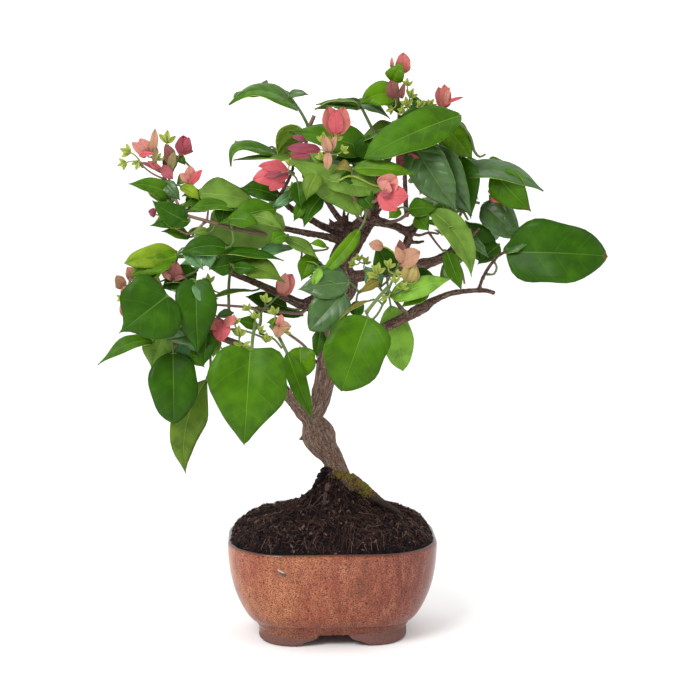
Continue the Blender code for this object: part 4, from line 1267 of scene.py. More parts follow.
# %% The low leaves on the left
leaf((-111, 279, -46), (-149, 272, -56), 17, "lime", roll=15, fold=20, outline="petal")
leaf((-112, 277, -50), (-146, 262, -56), 18, "fresh", roll=25, fold=14)
leaf((-119, 248, -72), (-154, 221, -80), 47, "deep", outline="drip", arch=4)
leaf((-98, 258, -62), (-97, 206, -68), 28, "deep", arch=4, outline="heart")
leaf((-97, 258, -60), (-88, 240, -64), 14, "bloom", roll=15)
leaf((-98, 266, -40), (-123, 253, -46), 18, "deep", roll=20)
leaf((-96, 222, -56), (-120, 216, -62), 14, "blue")
leaf((-90, 222, -58), (-93, 197, -64), 14, "deep")
leaf((-113, 222, -46), (-92, 198, -50), 22, "bloom", stalk=False)
leaf((-84, 218, -50), (-86, 203, -54), 10, "pale")
leaf((-130, 215, -48), (-170, 198, -58), 15, "mid", roll=45, arch=7, hook=0.3)
leaf((-120, 221, -44), (-131, 194, -48), 23, "pale", roll=20)
leaf((-126, 222, -40), (-140, 214, -44), 10, "bloom", roll=20)
leaf((-115, 206, -54), (-115, 154, -60), 34, "deep", arch=4, outline="round", wave=1.5)
leaf((-106, 207, -50), (-92, 196, -54), 8, "mid")
leaf((-91, 187, -40), (-107, 117, -48), 26, "olive", bend=8, roll=-15, outline="lance", stalk=False)
leaf((-72, 236, -34), (-84, 232, -38), 7, "blue", roll=20)
leaf((-57, 252, -20), (-90, 245, -30), 7, "olive", roll=60)

# %% In front of the trunk
leaf((-59, 208, -84), (-64, 138, -92), 54, "mid", outline="heart", arch=5, stalk=False, wave=1.0)
leaf((-8, 223, -40), (-11, 203, -44), 10, "deep", stalk=False)
leaf((-32, 206, -54), (-14, 157, -60), 15, "mid", fold=26, stalk=False, arch=3)
leaf((-23, 210, -48), (-22, 188, -52), 22, "fresh", outline="round")
leaf((-54, 226, -38), (-69, 231, -44), 10, "mid", roll=20)
leaf((-38, 228, -40), (-47, 229, -42), 7, "fresh", roll=20)
leaf((-51, 236, -34), (-58, 233, -36), 6, "mid")
leaf((-33, 240, 6), (-62, 248, 4), 16, "deep", roll=20)
leaf((-22, 234, 10), (-60, 240, 8), 9, "deep", roll=20)
leaf((20, 296, -38), (-12, 260, -46), 11, "fresh", fold=20, bend=-2)
leaf((-8, 268, -48), (-14, 254, -50), 7, "glow", fold=20, stalk=False)
leaf((12, 258, -44), (-24, 253, -52), 22, "blue", roll=10, fold=15)
leaf((10, 260, -40), (-14, 268, -46), 14, "blue", roll=25)
leaf((-13, 278, -30), (-22, 259, -34), 14, "fresh", roll=10)
leaf((-34, 290, -34), (-9, 275, -42), 12, "pale", roll=40)
leaf((-4, 284, -38), (-16, 286, -40), 6, "fresh", roll=30)
leaf((9, 250, -48), (-16, 223, -56), 25, "blue", roll=5, outline="round")
leaf((26, 232, -66), (7, 178, -74), 43, "mid", arch=5, outline="round", wave=1.6)
leaf((28, 245, -56), (4, 229, -62), 5, "young", roll=60)
leaf((18, 244, -40), (19, 231, -42), 11, "deep")
leaf((34, 259, -34), (20, 250, -38), 7, "young", roll=10)
leaf((43, 240, 14), (52, 193, 10), 24, "glow", arch=4, outline="petal")
leaf((42, 266, -24), (32, 286, -30), 19, "deep", roll=10)
leaf((34, 256, -26), (24, 270, -30), 14, "bloom")
leaf((58, 262, -20), (76, 260, -26), 14, "deep", roll=20)
leaf((43, 248, -30), (87, 261, -40), 17, "glow", roll=15)
leaf((70, 250, -28), (50, 240, -32), 10, "fresh", roll=20)

# %% The right side
leaf((56, 311, -34), (76, 311, -40), 14, "mid", roll=15)
leaf((62, 306, -36), (70, 295, -42), 13, "mid")
leaf((72, 309, -38), (101, 262, -46), 22, "pale", bend=6, roll=10, fold=35, arch=4)
leaf((58, 357, -28), (90, 308, -38), 31, "blue", arch=4, quilt=1.7, veins=8, fold=20)
leaf((64, 355, -16), (101, 306, -24), 33, "blue", arch=5, quilt=1.7, veins=8, fold=20)
leaf((92, 348, -6), (100, 304, -14), 22, "deep", arch=3)
leaf((91, 377, -34), (23, 347, -48), 31, "mid", roll=32, arch=4, outline="petal")
leaf((82, 371, -28), (56, 358, -36), 12, "fresh", roll=20)
leaf((84, 374, 8), (43, 373, 2), 26, "mid", roll=40, arch=4)
leaf((80, 370, -8), (101, 346, -14), 22, "fresh", roll=15)
leaf((46, 370, 15), (21, 361, 10), 12, "olive", roll=35)
leaf((44, 401, 0), (50, 414, -4), 14, "fresh", roll=10)
leaf((47, 391, -2), (20, 385, -8), 20, "fresh", bend=3, roll=20)
leaf((46, 386, 2), (50, 378, 0), 9, "deep")
leaf((57, 388, 0), (66, 386, -2), 6, "deep")
leaf((93, 337, -2), (152, 324, -14), 25, "blue", roll=50, arch=9, stalk=False, quilt=1.3)
leaf((116, 337, -8), (143, 309, -16), 25, "mid", roll=-10, burn=0.1)
leaf((111, 341, 14), (125, 344, 12), 10, "fresh", roll=30, arch=3)
leaf((109, 314, 6), (136, 288, 0), 25, "blue", roll=15, quilt=1.6, stalk=False)
leaf((127, 280, -18), (199, 277, -28), 46, "deep", roll=10, outline="round", burn=0.04, arch=5, wave=2.2)
leaf((124, 280, -16), (145, 288, -20), 12, "blue", roll=40)
leaf((113, 277, 6), (96, 303, 2), 22, "deep", roll=10)
leaf((120, 285, 4), (105, 271, 0), 14, "deep", roll=10)
leaf((101, 290, -12), (113, 276, -16), 7, "blue")
leaf((83, 280, -18), (94, 252, -24), 13, "mid", fold=20)
leaf((17, 340, -44), (60, 336, -52), 14, "fresh", roll=30)
leaf((24, 362, -10), (30, 342, -16), 22, "deep", roll=10)
leaf((22, 322, -40), (30, 310, -44), 13, "deep")
leaf((48, 311, -34), (41, 304, -36), 9, "fresh")
leaf((4, 340, -40), (16, 336, -44), 8, "young", arch=7, roll=30)
leaf((18, 333, -36), (5, 332, -40), 10, "deep", roll=20)
leaf((-4, 340, -26), (-16, 351, -30), 9, "pale", roll=20)

# %% The near leaves as one piece


def leaf_piece(heap, name, masses):
    """Joins a heap of leaves, gives them thickness with a paler underside, and lets them ride on the tree."""
    under = 3 * len(TONES)
    made = heap.piece(name, leaf_finishes + 2 * leaf_finishes[under:] + [margin])
    apply_modifier(
        made, "SOLIDIFY", thickness=BLADE_THICKNESS, offset=-1.0, material_offset=under,
        material_offset_rim=len(made.data.materials), use_quality_normals=True,
    )
    for polygon in made.data.polygons:
        polygon.use_smooth = True
    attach(made, "root")
    for mass in masses:
        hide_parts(mass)
    print(name, "faces:", len(made.data.polygons))


NEAR_MASSES = (
    "heart_leaf", "hanging_left", "hanging_right", "tip_left", "trunk_left", "trunk_front", "trunk_inner",
    "behind_bough", "leaf_far_right",
)
leaf_piece(near_leaves, "leaves_near", ["foliage_" + mass for mass in NEAR_MASSES])

# %% [markdown]
# ## Coloured bracts and flower buds
#
# What looks like a bougainvillea's flower is three papery bracts, each a small veined leaf that has turned
# pink or coral. They stand round thin tube flowers. The youngest are small greenish trios with a bud between
# them; later they are peach, and hold together like a lantern. A bract is made like a leaf, with a rounder
# outline and thinner veins, and a bud is a tube that swells towards its end.

# %% Bract and bud finishes
# Bracts are dry and papery: nearly matt, with a faint glow at the edge from fine hairs.
PETAL_TONES = {  # blade, veins
    "coral": ("#bf4a52", "#a23942"),
    # crimson is the colour of crimson bracts, and on small bracts inside a group it is painted shade in the
    # group's pouch.
    "crimson_and_pouch_shade": ("#973443", "#7a2636"),
    "magenta": ("#8b3049", "#72233c"),
    "lantern": ("#b96258", "#a24e49"),
    "pink": ("#c47a6c", "#ab645a"),
    "peach": ("#b07f62", "#99694f"),
    "beige": ("#a8934e", "#8f7a3e"),
    "rust": ("#7d4239", "#66352e"),
    "olive_bract": ("#7b6a3c", "#68592f"),
    "bud": ("#9dab3e", "#85942f"),
    "tube": ("#6f2a31", "#5a2028"),
}
petal_names = list(PETAL_TONES)
PETAL_CLOUDS = 320.0
petal_finishes = [
    soft_finish(f"bract_{tone}_{side}", PETAL_TONES[tone][number], 0.6, 0.07, PETAL_CLOUDS, Sheen_Weight=0.25)
    for number, side in enumerate(("paper", "vein"))
    for tone in petal_names
]
bracts = Heap()
bract_feet = []
PETAL_SHAPE = {
    "outline": "petal", "veins": 5, "quilt": 0.25, "fold": -8, "arch": 2.0, "cup": 0.12, "rib": 0.25,
}
TRIO_SHAPE = {"fold": -14, "cup": 0.2, "arch": 0.8, "veins": 3, "columns": 2}
TRIO_SPREAD = 48.0
BUD_SHAPE = [(0.0, 0.45), (0.3, 0.55), (0.6, 0.85), (0.82, 1.0), (0.95, 0.7), (1.0, 0.25)]


def bract(foot, tip, wide, tone, stalk=False, **shape):
    """A papery bract from foot to tip, each as x, z and depth."""
    start = carried(*foot)
    settings = {**PETAL_SHAPE, **shape, "phase": tip[0] + tip[1]}
    points, faces, kinds = bent_blade(start, carried(*tip), wide, **settings)
    number = petal_names.index(tone)
    bracts.add(points, faces, [number + (len(petal_names) if kind else 0) for kind in kinds])
    if stalk:
        bract_feet.append((start, unit(points.mean(0) - start)))


def bud(foot, tip, radius, tone="bud", flare=0.0):
    """A bud or tube flower from foot to tip; flare opens its mouth to a small star."""
    start, end = carried(*foot), carried(*tip)
    share = np.array([place for place, _ in BUD_SHAPE])
    size = np.array([value for _, value in BUD_SHAPE]) * radius
    size[-2:] += flare
    bend = np.sin(share * math.pi)[:, None] * np.array((0.0, -0.05, 0.05)) * np.linalg.norm(end - start)
    points, faces = tube(start + (end - start) * share[:, None] + bend, size, 6)
    bracts.add(points, faces, petal_names.index(tone))


def bud_trio(x, z, y, size, turn=90.0, tone="bud"):
    """Three small young bracts that part from one foot, with a bud between, towards an angle on the board."""
    for part in (-1, 0, 1):
        angle = math.radians(turn + part * TRIO_SPREAD)
        reach = size * (1.0 if part else 1.15)
        tip = (x + reach * math.cos(angle), z + reach * math.sin(angle), y - 0.4 * size * (1 - abs(part)))
        bract((x, z, y), tip, size * 0.52, tone, roll=25 * part, **TRIO_SHAPE)
    angle, reach = math.radians(turn + 20), size * 0.8
    tip = (x + reach * math.cos(angle), z + reach * math.sin(angle), y - 4)
    bud((x, z, y - 1), tip, size * 0.12, tone)
    away = np.array((math.cos(math.radians(turn)), 0.0, math.sin(math.radians(turn))))
    bract_feet.append((carried(x, z, y), away))


# %% The bracts and buds, group by group
bract((-31, 337, -30), (-56, 332, -36), 15, "coral", stalk=True, fold=-16, arch=4, roll=10)
bract((-31, 338, -29), (-52, 341, -33), 10, "coral", roll=35, fold=10)
bract((-34, 336, -31), (-44, 324, -36), 11, "coral", roll=-10, fold=-20)
# A small dark bract inside the group: painted shade in its pouch.
bract((-34, 336, -33), (-48, 334, -39), 5, "crimson_and_pouch_shade", roll=20)
bud((-30, 337, -30), (-41, 333, -40), 1.2, "tube")
bract((37, 324, -58), (47, 334, -62), 15, "pink", stalk=True, roll=10, fold=12)
bract((38, 321, -60), (55, 320, -66), 16, "coral", fold=-14, arch=4)
bract((34, 322, -61), (47, 310, -67), 13, "coral", roll=-15, fold=-18)
bract((38, 323, -62), (41, 331, -68), 11, "pink", roll=25)
# A small dark bract inside the group: painted shade in its pouch.
bract((36, 322, -63), (42, 321, -69), 5, "crimson_and_pouch_shade", roll=10)
bract((-8, 353, -24), (-32, 354, -30), 8, "magenta", stalk=True, roll=20)
bract((-9, 352, -25), (-30, 348, -31), 7, "crimson_and_pouch_shade", roll=10)
bract((-2, 351, -38), (-5, 363, -41), 7, "peach", fold=10)
bract((0, 352, -36), (4, 363, -38), 5, "peach", roll=20)
bract((-2, 351, -40), (-3, 339, -42), 6, "peach")
bract((-18, 359, -22), (-28, 362, -25), 5, "magenta", roll=30)
bract((3, 365, -34), (-3, 383, -38), 14, "lantern", stalk=True, roll=10, cup=0.25)
bract((4, 365, -36), (9, 383, -40), 15, "lantern", cup=0.25, fold=-14)
bract((3.5, 365, -38), (3, 381, -43), 11, "coral", cup=0.2, fold=-20)
bract((-37, 250, -30), (-28, 264, -33), 13, "lantern", stalk=True, cup=0.25)
bract((-36, 250, -32), (-33, 265, -35), 9, "pink", cup=0.2, fold=-20)
bract((-77, 227, -52), (-93, 227, -56), 11, "lantern", stalk=True, roll=30)
bract((-78, 229, -54), (-80, 215, -60), 13, "coral", roll=15, arch=3)
bract((-79, 226, -54), (-68, 232, -58), 8, "lantern", roll=30)
bud((-79, 230, -51), (-90, 238, -55), 1.1, "tube", flare=0.7)
bract((47, 343, -26), (58, 354, -30), 10, "crimson_and_pouch_shade", stalk=True, roll=20)
bract((49, 345, -27), (62, 336, -33), 10, "rust", roll=-10)
bract((48, 345, -28), (63, 347, -34), 9, "crimson_and_pouch_shade")
bract((-114, 260, -52), (-111, 273, -55), 10, "rust", stalk=True, cup=0.2)
bract((-115, 260, -52), (-122, 266, -56), 5, "pink", roll=20)
bract((-113, 260, -53), (-105, 262, -57), 4, "rust", roll=20)
bud((-122, 254, -50), (-129, 267, -54), 2.0, "peach")
for x, z, tone in ((-146, 266, "pink"), (-154, 260, "peach"), (-150, 252, "pink"), (-151, 240, "pink")):
    bract((x + 3, z - 6, -40), (x - 1, z + 3, -44), 9, tone, roll=20)
bud_trio(-150, 246, -42, 5.0, 150)
bract((-38, 226, -48), (-36, 235, -50), 6, "pink", stalk=True)
bract((-38, 226, -48), (-29, 226, -52), 8, "peach")
bract((-38, 226, -49), (-40, 218, -53), 8, "peach", roll=-10)
bract((52, 271, -34), (49, 289, -37), 8, "rust", stalk=True)
bract((50, 272, -36), (64, 280, -41), 14, "peach", roll=15, cup=0.2)
bract((52, 272, -37), (46, 284, -41), 7, "peach", fold=-18)
bract((57, 258, -35), (57, 273, -38), 13, "beige", stalk=True, cup=0.25)
bract((57, 259, -37), (61, 271, -41), 6, "beige", cup=0.2, fold=-18)
bract((37, 284, -34), (27, 286, -36), 8, "peach", stalk=True)
bract((126, 324, -4), (112, 323, -8), 15, "pink", stalk=True, roll=15)
bract((125, 321, -5), (114, 317, -9), 8, "coral")
bract((81, 383, -2), (80, 399, -6), 9, "lantern", stalk=True, roll=10, cup=0.2)
bract((80, 383, -1), (76, 397, -4), 9, "lantern", cup=0.2)
bract((79, 384, -3), (94, 390, -8), 3.4, "coral", roll=30)
bract((80, 384, -3), (84, 397, -6), 6, "pink", roll=20)
bract((43, 410, 2), (43, 418, 0), 3, "pink", stalk=True)
bract((51, 407, 4), (51, 421, 1), 11, "lantern", stalk=True, cup=0.2)
bract((45, 389, -6), (42, 402, -10), 10, "rust", stalk=True)
bract((50, 389, -6), (52, 400, -9), 4.5, "rust", roll=15)
bract((-131, 349, -22), (-136, 361, -25), 11, "pink", stalk=True, roll=15)
bract((-127, 350, -22), (-125, 368, -26), 6, "peach")
bract((-132, 348, -23), (-142, 358, -28), 8, "pink", roll=25)
bract((-137, 349, -24), (-126, 350, -28), 4, "coral", roll=20)
bract((-105, 350, -20), (-105, 363, -23), 12, "crimson_and_pouch_shade", stalk=True, cup=0.25)
bract((-103, 352, -22), (-101, 362, -26), 6, "crimson_and_pouch_shade", roll=10, fold=-15)
bract((-104, 351, -18), (-98, 352, -20), 4, "rust", roll=15)
bract((-112, 340, -20), (-118, 357, -23), 9, "rust", roll=10)
bract((-115, 338, -24), (-111, 352, -27), 6, "olive_bract", roll=20)
bract((-121, 337, -24), (-131, 345, -28), 5, "coral", stalk=True, roll=20)
bract((-121, 338, -25), (-136, 344, -29), 4, "rust", roll=20)
bract((-121, 341, -24), (-113, 332, -30), 8, "crimson_and_pouch_shade", fold=-15)
bract((-124, 354, -24), (-127, 343, -28), 4, "olive_bract")
bract((-101, 329, -26), (-101, 342, -29), 9, "pink", stalk=True, roll=15)
bract((-101, 330, -27), (-108, 336, -31), 7, "pink", roll=15)
bract((-101, 328, -28), (-92, 339, -32), 6, "coral", roll=10, fold=-20)
bract((-126, 307, -40), (-131, 309, -43), 7, "magenta", stalk=True, roll=20)
bract((-117, 305, -38), (-121, 299, -40), 9, "coral", roll=20)
bract((-112, 301, -42), (-122, 299, -45), 5, "pink", roll=30)
BUD_TRIOS = [  # x, z, depth, size, angle
    (-143, 351, -24, 7, 160), (-146, 344, -26, 6, 200), (-137, 345, -24, 6, 250), (-124, 346, -24, 5, 60),
    (-117, 358, -20, 8, 85), (-70, 228, -52, 6, 95), (-67, 219, -54, 7, 90), (-66, 212, -54, 6, 200),
    (-64, 212, -54, 6, 340), (-55, 232, -50, 5, 100), (-48, 244, -46, 6, 80), (-41, 235, -46, 6, 110),
    (-88, 258, -30, 6, 100), (-47, 215, -52, 6, 90), (-52, 222, -52, 5, 60), (-60, 238, -46, 5, 130),
    (33, 261, -34, 8, 150), (41, 269, -36, 6, 75), (33, 265, -36, 7, 80), (51, 254, -38, 5, 50),
    (46, 258, -38, 5, 100), (56, 390, -4, 6, 70), (54, 384, -6, 6, 100), (52, 380, -6, 5, 160),
    (62, 383, -4, 6, 40), (54, 398, -4, 5, 90), (70, 384, -3, 5, 60), (-5, 358, -32, 7, 95),
    (3, 360, -33, 6, 70), (8, 352, -34, 5, 40), (-30, 342, -30, 5, 80), (-6, 346, -32, 6, 110),
    (-27, 324, -28, 6, 100), (44, 382, -6, 5, 200), (-34, 222, -50, 5, 40), (24, 272, -24, 5, 60),
    (20, 274, -24, 5, 110), (17, 271, -24, 5, 160), (40, 247, -38, 5, 200), (47, 264, -38, 4, 20),
]
for x, z, y, size, turn in BUD_TRIOS:
    bud_trio(x, z, y, size, turn)

bract_piece = bracts.piece("bracts", petal_finishes)
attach(bract_piece, "root")
for name in ("foliage_blossom_top_right", "foliage_blossom_left", "foliage_low_blossom"):
    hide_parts(name)
print("bracts and buds, faces:", len(bract_piece.data.polygons))

# %% [markdown]
# ## Green shoots, twigs and stalks
#
# Every leaf hangs on a stalk of its own, and the stalks leave thin shoots whose skin is still green, or
# reddish brown where it has begun to turn to wood. The shoots that can be seen are listed one by one. Each
# other stalk starts along its leaf's midrib and bends to the nearest shoot or bough. A short thick joint
# marks each place where a stalk leaves its shoot.

# %% Shoots and stalks
SHOOT_TONES = {"green": "#62753f", "lime": "#8a9a38", "brown": "#7b5a4e", "pale": "#93795b"}
# Young skin is waxy and smooth, so it has a low sheen; the brown is its first thin cork.
SHOOT_CLOUDS = 300.0
shoot_finishes = [
    soft_finish(f"shoot_{tone}", colour, 0.55, 0.18, SHOOT_CLOUDS) for tone, colour in SHOOT_TONES.items()
]
shoot_tones = list(SHOOT_TONES)
shoots = Heap()
THICKEST_SEAT, LOWEST_SEAT = 6.5, 160  # shoots start on limbs thinner than this, and higher
skeleton = [row for row in samples if row[3] < THICKEST_SEAT and row[2] > LOWEST_SEAT]
SHOOTS = [  # finish, then x, depth, z and radius at each point
    ("brown", (-36, -9, 296, 1.7), (-46, -22, 293, 1.6), (-62, -34, 295, 1.5), (-90, -42, 302.5, 1.3),
     (-107, -42, 308, 1.2), (-110, -36, 315, 1.1), (-117, -28, 329, 1.0), (-119, -26, 333, 0.9)),
    ("green", (-117, -28, 329, 0.9), (-113, -23, 338, 0.8), (-107, -20, 352, 0.7)),
    ("green", (-118, -27, 331, 0.9), (-122, -25, 339, 0.8), (-128, -24, 348, 0.7)),
    ("brown", (-119, -27, 332, 0.8), (-129, -26, 337, 0.7), (-138, -25, 345, 0.6)),
    ("green", (-107, -36, 304.5, 0.8), (-114, -38, 310, 0.8), (-117, -34, 317, 0.8), (-114, -30, 321.5, 0.8)),
    ("pale", (-90, -40, 302, 1.0), (-101, -44, 293, 0.9), (-112, -46, 297, 0.7)),
    ("brown", (-89, -42, 303, 0.8), (-88, -40, 311, 0.7)),
    ("green", (-71, -40, 296, 0.8), (-73, -44, 303, 0.8)),
    ("brown", (-73, -14, 265, 1.0), (-78, -10, 276, 0.9), (-80, -16, 283, 0.8)),
    ("brown", (-73, -14, 266, 1.0), (-66, -10, 273, 0.9), (-58, -16, 279, 0.8)),
    ("brown", (-17, -6, 243, 1.6), (-22, -12, 236, 1.3), (-40, -26, 237, 1.2), (-60, -34, 240, 1.1),
     (-86, -36, 242, 0.9)),
    ("green", (-40, -26, 237, 0.9), (-47, -34, 240, 0.8), (-48, -44, 245, 0.7)),
    ("green", (-50, -30, 238, 0.9), (-44, -30, 243, 0.8), (-37, -30, 250, 0.7)),
    ("green", (-60, -34, 240, 0.8), (-52, -40, 236, 0.8), (-52, -48, 228, 0.9), (-55, -50, 224, 0.9)),
    ("green", (-86, -30, 221, 0.9), (-72, -44, 224, 0.9), (-60, -52, 222, 0.8), (-50, -52, 218, 0.7)),
    ("green", (-52, -50, 221, 0.8), (-42, -50, 217, 0.8), (-36, -50, 210, 0.8)),
    ("brown", (-31, -8, 174, 1.6), (-27, -22, 190, 1.2), (-24, -36, 200, 1.1), (-20, -46, 206, 0.9)),
    ("brown", (-12, 4, 200, 1.4), (-20, -16, 212, 1.1), (-36, -38, 224, 1.0)),
    ("brown", (-100, -34, 229, 1.8), (-108, -48, 238, 1.4), (-116, -64, 246, 1.2), (-120, -70, 248, 1.1)),
    ("brown", (-100, -34, 229, 1.6), (-98, -50, 246, 1.2), (-106, -50, 262, 1.1), (-112, -48, 272, 1.0)),
    ("brown", (-94, -32, 225, 1.4), (-104, -44, 220, 1.2), (-114, -52, 211, 1.1)),
    ("green", (-88, -31, 221, 1.1), (-88, -38, 208, 1.0), (-88, -40, 196, 0.9), (-91, -40, 187, 0.9)),
    ("brown", (-100, -34, 229, 1.4), (-118, -42, 226, 1.2), (-132, -44, 218, 1.0)),
    ("brown", (-104, -36, 232, 1.2), (-128, -38, 244, 1.0), (-147, -39, 256, 0.8), (-152, -40, 246, 0.6)),
    ("brown", (-8, 10, 332, 1.6), (-4, -4, 342, 1.3), (-1, -22, 352, 1.2), (2, -33, 363, 1.0)),
    ("lime", (-1, -30, 341, 0.8), (-2, -33, 352, 0.8), (-4, -33, 360, 0.7)),
    ("brown", (-27, -9, 336, 1.1), (-30, -20, 338, 1.0), (-34, -29, 337, 0.9)),
    ("brown", (28, 0, 301, 1.4), (20, -16, 304, 1.2), (15, -28, 313, 1.1)),
    ("brown", (18, -38, 318, 1.5), (10, -38, 326, 1.2), (2, -34, 334, 1.0)),
    ("brown", (22, -26, 314, 1.4), (30, -46, 316, 1.1), (36, -57, 320, 0.9)),
    ("lime", (5, -40, 331, 0.8), (15, -44, 334.5, 0.8), (30, -44, 328, 0.8), (36, -42, 327, 0.7)),
    ("green", (42, 13, 350, 1.6), (32, 6, 363, 1.3), (24, 2, 378, 1.1), (21, 1, 384, 1.0)),
    ("brown", (-19, 6, 361, 1.5), (-16, 6, 368, 1.7), (-12, 5, 377, 1.6)),
    ("green", (32, 6, 363, 0.9), (24, -2, 360, 0.8)),
    ("brown", (46, 10, 360, 2.0), (48, 6, 372, 1.5), (48, 0, 384, 1.2), (47, -2, 397, 1.0),
     (47, -1, 404, 0.8)),
    ("green", (48, 2, 380, 0.9), (56, -2, 384, 0.8), (68, -3, 383, 0.8), (79, -2, 383, 0.7)),
    ("brown", (46, 10, 360, 1.6), (62, 0, 366, 1.3), (76, -14, 368, 1.2), (86, -30, 373, 1.1)),
    ("green", (76, -14, 368, 1.1), (88, -16, 373, 1.1), (98, -14, 364, 1.1), (102, -12, 352, 1.1),
     (106, -12, 348, 1.0), (110, -12, 350, 0.8)),
    ("brown", (76, 6, 326, 1.7), (74, -4, 340, 1.4), (68, -14, 350, 1.2), (62, -24, 356, 1.0)),
    ("brown", (76, 6, 326, 1.4), (80, 0, 342, 1.2), (80, -4, 356, 1.1), (80, -8, 369, 1.0)),
    ("brown", (76, 6, 326, 1.4), (86, 2, 322, 1.3), (94, 0, 334, 1.2), (108, 4, 338, 1.1),
     (117, 0, 336, 0.9)),
    ("brown", (88, 0, 281, 1.6), (92, -2, 292, 1.4), (91, -2, 302, 1.3), (94, 0, 311, 1.2),
     (96, 2, 317, 1.1), (106, 5, 315, 1.0)),
    ("green", (94, 0, 310, 0.9), (98, -2, 303, 0.8)),
    ("brown", (56, 4, 294, 1.4), (63, -2, 292, 1.1), (70, -6, 294, 1.0), (77, -10, 293, 0.8)),
    ("brown", (70, -6, 294, 0.9), (75, -10, 287, 0.8), (80, -14, 281, 0.7)),
    ("brown", (88, -2, 276, 1.2), (98, -6, 288, 1.0), (106, -4, 297, 0.9)),
    ("brown", (90, -2, 275, 1.0), (94, -4, 266, 0.9), (96, -6, 257, 0.7)),
    ("brown", (88, 0, 281, 1.4), (100, 4, 284, 1.1), (114, 6, 280, 1.0)),
    ("green", (112, -10, 264, 0.8), (117, -14, 264, 0.8), (119, -16, 269, 0.8), (117, -14, 273, 0.8)),
    ("brown", (36, 0, 301, 1.4), (48, -16, 303, 1.2), (58, -30, 309, 1.1), (72, -37, 309, 0.9)),
    ("green", (43, -30, 250, 1.1), (40, -31, 249, 1.0), (44, -33, 260, 0.9), (49, -34, 273, 0.8)),
    ("green", (40, -31, 249, 0.9), (49, -34, 252, 0.8), (57, -35, 259, 0.8)),
    ("green", (40, -31, 249, 0.9), (34, -32, 255, 0.8), (30, -33, 265, 0.8)),
    ("green", (29, -62, 230, 0.8), (34, -58, 236, 0.8), (38, -52, 244, 0.8)),
    ("green", (40, -56, 254, 1.0), (41, -44, 253, 1.0), (43, -32, 250, 1.0)),
]
SHOOT_STEP = 2.5
JOINT = 1.35  # how much thicker a shoot is where it starts
SHORTEST_STALK, LONGEST_STALK = 2.0, 70.0
STALK_RADIUS, BRACT_STALK_RADIUS = 0.72, 0.55
STRAIGHT_END = 14.0  # how much of a stalk lies on the line of its leaf's midrib, at the most


def add_shoot(rows, tone):
    """A shoot or stalk as a tube, a little thicker where it starts, with its points added to the skeleton."""
    rows = smooth(rows, SHOOT_STEP)
    radii = rows[:, 3] * (1.0 + (JOINT - 1.0) * np.exp(-np.arange(len(rows)) * 1.5))
    points, faces = tube(rows[:, :3], radii, 6)
    shoots.add(points, faces, shoot_tones.index(tone))
    skeleton.extend(rows)


for name in GREEN:
    add_shoot(on_board(LIMBS[name]), "brown" if name == "shoot_centre_front" else "green")
for tone, *path in SHOOTS:
    add_shoot(on_board(path), tone)
print("shoots drawn by hand:", len(SHOOTS) + len(GREEN))


def reach_shoot(foot, along, radius, tone):
    """A stalk from a leaf's foot, on the line of its midrib at first, to the nearest shoot or bough."""
    rows = np.array(skeleton)
    gap = foot - rows[:, :3]
    distance = np.linalg.norm(gap, axis=1)
    behind = np.clip(gap @ along, -distance, distance)
    cost = distance - 0.35 * behind + 0.5 * np.clip(foot[1] - rows[:, 1], 0, None)
    cost[distance < SHORTEST_STALK] += 50.0
    best = int(np.argmin(cost))
    length = distance[best]
    if length > LONGEST_STALK:
        return False
    start = rows[best, :3]
    pull = foot - along * min(STRAIGHT_END, 0.5 * length)
    lean = start + (pull - start) * 0.35 + np.array((0.0, 0.06 * length, -0.03 * length))
    share = np.linspace(0.0, 1.0, 6)[:, None]
    curve = (1 - share) ** 3 * start + 3 * (1 - share) ** 2 * share * lean
    curve += 3 * (1 - share) * share**2 * pull + share**3 * foot
    thick = np.linspace(radius * (1.0 + length / 80.0), radius, len(curve))
    add_shoot(np.column_stack((curve, thick)), tone)
    return True


waiting = [(foot, along, STALK_RADIUS, "green") for foot, along in leaf_feet]
waiting += [(foot, along, BRACT_STALK_RADIUS, "lime") for foot, along in bract_feet]
waiting.sort(key=lambda stalk: min(np.linalg.norm(np.array(skeleton)[:, :3] - stalk[0], axis=1)))
unreached = sum(not reach_shoot(*stalk) for stalk in waiting)
print("stalks:", len(waiting), "with no shoot near:", unreached)

# %% [markdown]
# ## Leaves through the rest of the crown
#
# A bougainvillea sets its leaves one by one along thin arching shoots, each on the other side from the last,
# and turns them to the sky and outwards. We grow such shoots on from the boughs with seeded dice, inside the
# plain masses of the crown. A leaf that would show in a gap between the near leaves is left out, so the crown
# stays open where the tree is open, and full from the sides, from above and from behind.

# %% What the near leaves cover, seen from the camera
BOARD_X, BOARD_Z = (-190, 220), (90, 440)
OPEN = 1e9  # the depth of a cell that no near leaf covers
FACE_STEPS = np.linspace(0.0, 1.0, 8)
cover = np.full((BOARD_X[1] - BOARD_X[0], BOARD_Z[1] - BOARD_Z[0]), OPEN)


def board_cells(points):
    """The 1 mm cells of the drawing board that points fall on from the eye, and how deep the points lie."""
    share = EYE[1] / (EYE[1] - points[:, 1])
    on_plane = EYE + (points - EYE) * share[:, None]
    x = np.clip(on_plane[:, 0] - BOARD_X[0], 0, cover.shape[0] - 1).astype(int)
    z = np.clip(on_plane[:, 2] - BOARD_Z[0], 0, cover.shape[1] - 1).astype(int)
    return x, z, points[:, 1]


corners = np.vstack(near_leaves.points)[np.array(near_leaves.faces)]
for u in FACE_STEPS:
    for v in FACE_STEPS:
        weights = np.array(((1 - u) * (1 - v), u * (1 - v), u * v, (1 - u) * v))
        x, z, depth = board_cells(np.einsum("fck,c->fk", corners, weights))
        np.minimum.at(cover, (x, z), depth)
print("share of the board that near leaves cover:", round(float((cover < OPEN).mean()), 3))

